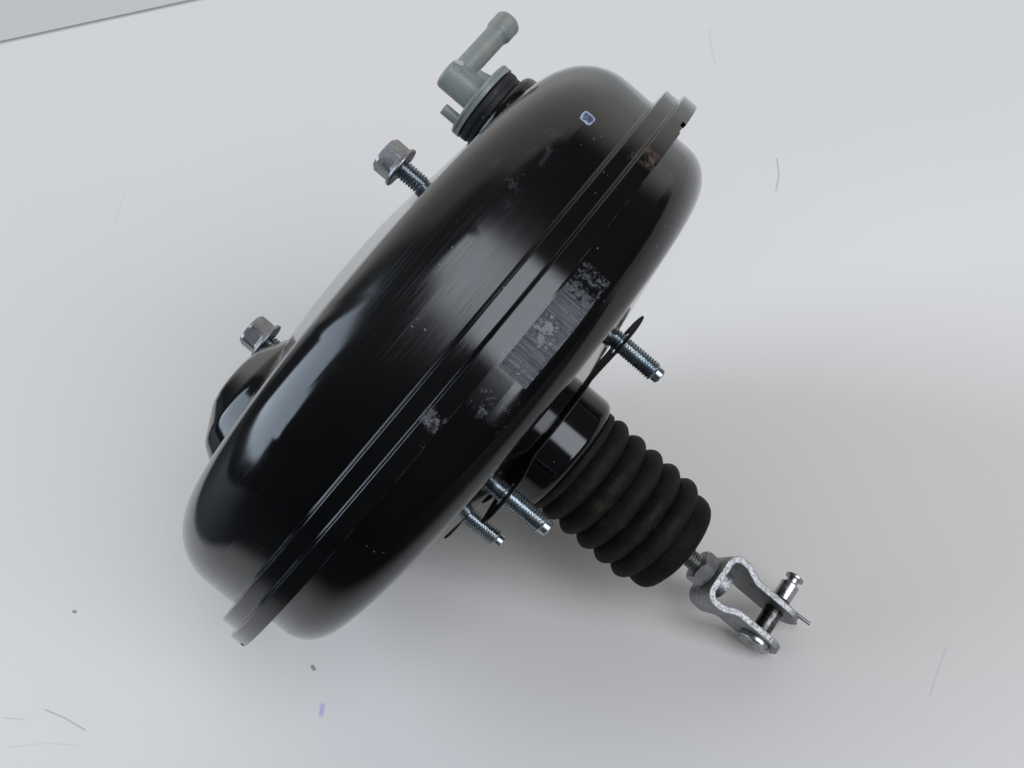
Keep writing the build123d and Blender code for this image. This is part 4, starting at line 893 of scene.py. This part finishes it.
def cylinder_studs():
    """Two studs for the master cylinder, pointing forwards."""
    tip, back = reach("cylinder_studs")
    thread_front, thread_back = tip + 1.1, CYLINDER_FACE - THREAD_START
    head_front = back - HEAD_THICK
    outline = [(back, 0.0), (back, STUD_HEAD), (head_front, STUD_HEAD), (head_front, STUD_NECK)]
    outline += [(CYLINDER_FACE, STUD_NECK)] + thread_outline(thread_front, thread_back)[::-1]
    outline += [(tip + 0.3, 3.2), (tip + 0.3, 0.0)]
    shape = threaded(thread_front, thread_back, 0.3, 0.6)
    studs = [turned(outline, STUD_SEGMENTS, middle, shape) for middle in CYLINDER_STUDS]
    piece("cylinder_studs_threaded", *several(studs), SLOTS["zinc_steel"], "housing", "zinc_steel",
          ["cylinder_studs"])


cylinder_studs()

NUT_FLATS = 13.0
NUT_BORE = 4.15
NUT_SEGMENTS = 144


def cylinder_nuts():
    """Flange nuts with a domed end, a chamfered hexagon and a round flange."""
    front, seat = reach("cylinder_nuts")
    outline = [
        (front + 1.1, NUT_BORE), (front + 0.5, 4.9), (front, 5.6), (front, 6.2), (front + 1.2, 7.5),
        (seat - 2.7, 7.51), (seat - 2.05, 7.3), (seat - 1.6, 8.3), (seat - 0.7, 8.7), (seat - 0.2, 8.6),
        (seat, 8.3), (seat, NUT_BORE)]
    shape = hexagon(NUT_FLATS, front, seat - 2.6)
    nuts = [turned(outline, NUT_SEGMENTS, middle, shape, loop=True) for middle in CYLINDER_STUDS]
    piece("cylinder_flange_nuts", *several(nuts), SLOTS["dark_steel"], "housing", "dark_steel",
          ["cylinder_nuts"], crease=28.0)


cylinder_nuts()

# Input rod: ball, neck, spring collar and threaded end

BALL_RADIUS = 4.8
BALL_MIDDLE = 2.0
BALL_STEPS = 14
ROD_NECK = 3.2
ROD_RADIUS = 3.9
COLLAR_FRONT, COLLAR_BACK, COLLAR_RADIUS = 42.0, 43.4, 7.2
ROD_THREAD_FRONT = 74.1


def input_rod():
    tip = reach("input_rod")[1]
    thread_end = tip - 1.0
    outline = [(BALL_MIDDLE - BALL_RADIUS, 0.0)]
    for step in range(1, BALL_STEPS - 2):
        turn = math.pi * step / BALL_STEPS
        outline.append((BALL_MIDDLE - BALL_RADIUS * math.cos(turn), BALL_RADIUS * math.sin(turn)))
    outline += [(5.6, ROD_NECK), (12.9, ROD_NECK), (16.8, ROD_RADIUS), (COLLAR_FRONT, ROD_RADIUS)]
    outline += [(COLLAR_FRONT, COLLAR_RADIUS), (COLLAR_BACK, COLLAR_RADIUS), (COLLAR_BACK, ROD_RADIUS)]
    outline += [(ROD_THREAD_FRONT - 0.1, ROD_RADIUS)] + thread_outline(ROD_THREAD_FRONT, thread_end)
    outline += [(tip, 3.0), (tip, 0.0)]
    shape = threaded(ROD_THREAD_FRONT, thread_end, 1.0, 0.3)
    rod = turned(outline, STUD_SEGMENTS, shape=shape)
    piece("input_rod_threaded", *rod, ROD_STEEL, "pushrod", "zinc_steel", ["input_rod"])


input_rod()

# Rubber boot: soft folds, and an end that rides on the rod

FOLDS = 5
FOLD_START = 25.4
FOLD_PITCH = 9.2
FOLD_ROOT, FOLD_HEIGHT = 20.9, 4.1
FOLD_STEPS = 24
FOLD_WALL = 1.3
BOOT_SEGMENTS = 160
BOOT_ANCHOR = 22.1


def fold_outline():
    """Collar that grips the hub, folds, and the same line back along the inside."""
    collar = [(17.9, 20.6), (17.9, 22.4), (18.6, 23.1), (20.0, 23.1), (20.1, 22.15), (BOOT_ANCHOR, 22.15),
              (22.15, 24.0), (22.6, 24.3), (24.6, 24.3), (25.1, 24.0), (FOLD_START, 22.9)]
    folds = []
    for fold in range(FOLDS):
        low = FOLD_START + FOLD_PITCH * fold
        for step in range(1, FOLD_STEPS):
            share = step / FOLD_STEPS
            swell = (1 - abs(2 * share - 1) ** 1.95) ** 0.78
            folds.append((low + FOLD_PITCH * share, FOLD_ROOT + FOLD_HEIGHT * swell))
        folds.append((low + FOLD_PITCH, FOLD_ROOT - 0.1))
    inside = [(place, radius - FOLD_WALL) for place, radius in reversed(folds)]
    return collar + folds + inside + [(24.0, 19.5), (19.0, 19.5)]


# Rounded end: distance from the boot's rear end, and radius, outside and then back inside
END_OUTLINE = (
    (12.4, 19.4), (12.3, 20.4), (11.8, 20.9), (11.3, 21.3), (10.4, 21.9), (9.0, 22.3), (7.0, 22.4),
    (5.4, 22.1), (4.0, 21.3), (2.9, 20.0), (2.1, 18.2), (1.5, 16.0), (0.9, 13.0), (0.4, 10.0), (0.05, 7.5),
    (0.0, 5.4), (0.2, 4.5), (0.7, 4.25), (1.5, 4.25), (1.8, 5.6), (2.3, 10.0), (3.1, 14.6), (4.2, 18.0),
    (5.4, 19.9), (7.0, 20.8), (9.5, 20.6), (11.0, 19.6),
)


SOFT_START, SOFT_RUN_IN = 24.0, 4.0


def soft(amount, scale, seed):
    """Shape that makes moulded rubber slightly uneven behind its collar."""
    def shape(place, radius, angle):
        y, z = radius * math.cos(angle), radius * math.sin(angle)
        at = Vector((place * scale, y * scale, z * scale + seed))
        most = amount * min(1.0, max(0.0, (place - SOFT_START) / SOFT_RUN_IN))
        return place + most * noise.noise(at), radius + most * noise.noise(at + Vector((9, 4, 2)))
    return shape


def boot():
    folds = turned(fold_outline(), BOOT_SEGMENTS, shape=soft(0.28, 0.07, 3.0), loop=True)
    rubber_look = SLOTS["boot_rubber"]
    bellows = piece("boot_bellows", *folds, rubber_look, "housing", "boot_rubber", ["dust_boot"], crease=50.0)
    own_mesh(bellows)
    tip = reach("dust_boot")[1]
    outline = [(tip - back, radius) for back, radius in END_OUTLINE]
    end = turned(outline, BOOT_SEGMENTS, shape=soft(0.2, 0.08, 7.0), loop=True)
    piece("boot_end", *end, rubber_look, "pushrod", "boot_rubber", crease=50.0)


boot()

# Gasket sheet: thin, and a little wavy where it hangs on the studs

GASKET_THICK = 0.4
GASKET_RADIUS, GASKET_BORE = 37.0, 27.8
GASKET_LOBE, GASKET_HOLE = 13.8, 5.3
GASKET_SEGMENTS, GASKET_RINGS = 288, 14
# The sheet is held flat at its bore and loose this far out, with waves and a tilt
GASKET_HELD = 12.0
GASKET_WAVE, GASKET_TILT = 0.35, 0.008
# Shares by which neighbouring points round off the outline's corners
CORNER_WEIGHTS = {-2: 1, -1: 2, 0: 3, 1: 2, 2: 1}
# Points this near a hole's edge are moved onto it
HOLE_EDGE = 2.6


def gasket_edge(angle):
    """Distance from the middle to the outline, which is the ring or a lobe round a stud."""
    way = Vector((math.cos(angle), math.sin(angle)))
    best = GASKET_RADIUS
    for stud in FIREWALL_STUDS:
        middle = Vector(stud)
        along = middle.dot(way)
        off = middle.length_squared - along * along
        if along > 0 and off < GASKET_LOBE ** 2:
            best = max(best, along + math.sqrt(GASKET_LOBE ** 2 - off))
    return best


def gasket_faces(work):
    """Grid of faces inside the outline, without the stud holes."""
    turns = [2 * math.pi * i / GASKET_SEGMENTS for i in range(GASKET_SEGMENTS)]
    raw = [gasket_edge(turn) for turn in turns]
    edge = [sum(raw[(i + j) % GASKET_SEGMENTS] * weight for j, weight in CORNER_WEIGHTS.items())
            / sum(CORNER_WEIGHTS.values()) for i in range(GASKET_SEGMENTS)]
    rows = []
    for ring in range(GASKET_RINGS + 1):
        radii = [GASKET_BORE + (far - GASKET_BORE) * ring / GASKET_RINGS for far in edge]
        rows.append([work.verts.new((0.0, radius * math.cos(turn), radius * math.sin(turn)))
                     for radius, turn in zip(radii, turns)])
    for low, high in zip(rows, rows[1:]):
        for i in range(GASKET_SEGMENTS):
            after = (i + 1) % GASKET_SEGMENTS
            face = (low[i], high[i], high[after], low[after])
            middle = sum((vert.co for vert in face), Vector()) / 4
            if all((middle.yz - Vector(stud)).length > GASKET_HOLE for stud in FIREWALL_STUDS):
                work.faces.new(face)
    for vert in [vert for vert in work.verts if not vert.link_faces]:
        work.verts.remove(vert)


def gasket_sheet():
    """Points and faces of the sheet, with round stud holes, bent and thickened."""
    level = sum(reach("firewall_gasket")) / 2
    work = bmesh.new()
    gasket_faces(work)
    for vert in work.verts:
        for stud in FIREWALL_STUDS:
            away = vert.co.yz - Vector(stud)
            if vert.is_boundary and away.length < GASKET_HOLE + HOLE_EDGE:
                vert.co.y, vert.co.z = Vector(stud) + away.normalized() * GASKET_HOLE
    for vert in work.verts:
        at = vert.co * 0.018 + Vector((3.0, 1.0, 5.0))
        loose = max(0.0, min(1.0, (vert.co.yz.length - GASKET_BORE) / GASKET_HELD))
        vert.co.x = level + loose * (GASKET_WAVE * noise.noise(at) + GASKET_TILT * vert.co.y)
    made = bmesh.ops.extrude_face_region(work, geom=work.faces[:])
    for item in made["geom"]:
        if isinstance(item, bmesh.types.BMVert):
            item.co.x -= GASKET_THICK
    points = [tuple(vert.co) for vert in work.verts]
    work.verts.index_update()
    faces = [tuple(vert.index for vert in face.verts) for face in work.faces]
    work.free()
    return points, faces


piece("gasket_thin_sheet", *gasket_sheet(), SLOTS["gasket_sheet"], "housing", "gasket_sheet",
      ["firewall_gasket"])


# Moulded and bent pieces with every corner softened

def softened(name, node, voxel, rounds, body, material, keep):
    """Copy of a node's solid with its corners and roots rounded off."""
    made = bpy.data.objects.new(name, NODES[node].data.copy())
    bpy.context.scene.collection.objects.link(made)
    remesh = made.modifiers.new("voxels", "REMESH")
    remesh.mode = "VOXEL"
    remesh.voxel_size = voxel
    smooth = made.modifiers.new("soften", "SMOOTH")
    smooth.factor = 0.5
    smooth.iterations = rounds
    thin = made.modifiers.new("thin", "DECIMATE")
    thin.ratio = keep
    result = bpy.data.meshes.new_from_object(made.evaluated_get(bpy.context.evaluated_depsgraph_get()))
    made.modifiers.clear()
    made.data = result
    result.name = name
    result.shade_smooth()
    result.materials.clear()
    result.materials.append(material)
    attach(made, body)
    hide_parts(node)


softened("valve_elbow_moulding", "port_elbow", 0.00028, 5, "port", elbow_plastic(), 0.3)
softened("grommet_moulding", "port_grommet", 0.00035, 4, "housing", GROMMET_RUBBER, 0.25)
softened("front_seal_moulding", "front_seal", 0.00035, 4, "housing", SLOTS["seal_rubber"], 0.3)
softened("clevis_strap_bent", "clevis", 0.00028, 5, "clevis", SLOTS["strap_steel"], 0.3)


# Foam rings whose bores widen rearwards, so that the rod may tilt in them

BORE_AT_BALL = 4.4
TILT_ROOM = math.radians(2.2)
FOAM_CORNER, FOAM_LIP = 0.6, 0.5
FOAM_STEPS = 8
FOAM_SEGMENTS = 120
FOAM_PITS = 0.12


def foam_ring(name, node):
    """Open foam ring with pitted faces."""
    points = [vert.co / MM for vert in NODES[node].data.vertices]
    front, back = reach(node)
    outer = max(math.hypot(point.y, point.z) for point in points)
    front_bore, back_bore = (
        BORE_AT_BALL + (place - BALL_MIDDLE) * math.tan(TILT_ROOM) for place in (front, back))

    def face(place, first, last):
        return [(place, first + (last - first) * i / FOAM_STEPS) for i in range(FOAM_STEPS + 1)]

    def pitted(place, radius, angle):
        at = Vector((place, radius * math.cos(angle), radius * math.sin(angle))) * 0.9
        depth = FOAM_PITS * noise.noise(at)
        return place + depth * (1 if place > front + 1 else -1), radius - abs(depth)

    outline = face(front, front_bore + FOAM_LIP, outer - FOAM_CORNER)
    outline += [(front + FOAM_CORNER, outer), (back - FOAM_CORNER, outer)]
    outline += face(back, outer - FOAM_CORNER, back_bore + FOAM_LIP)
    outline += [(back - FOAM_CORNER, back_bore), (front + FOAM_CORNER, front_bore)]
    ring = turned(outline, FOAM_SEGMENTS, shape=pitted, loop=True)
    piece(name, *ring, SLOTS["filter_foam"], "piston", "filter_foam", [node])


foam_ring("air_filter_foam", "air_filter")
foam_ring("air_silencer_foam", "air_silencer")


# Springs, copied from their CAD nodes and fixed to bodies

def sprung(name, node, body):
    """Copy of a CAD node's wire spring, fixed to a body in the node's place."""
    mesh = NODES[node].data.copy()
    mesh.name = name
    made = bpy.data.objects.new(name, mesh)
    bpy.context.scene.collection.objects.link(made)
    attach(made, body)
    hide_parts(node)
    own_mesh(made)


sprung("return_spring_coil", "return_spring", "housing")
sprung("rod_spring_coil", "rod_spring", "piston")
sprung("check_spring_coil", "check_spring", "port")
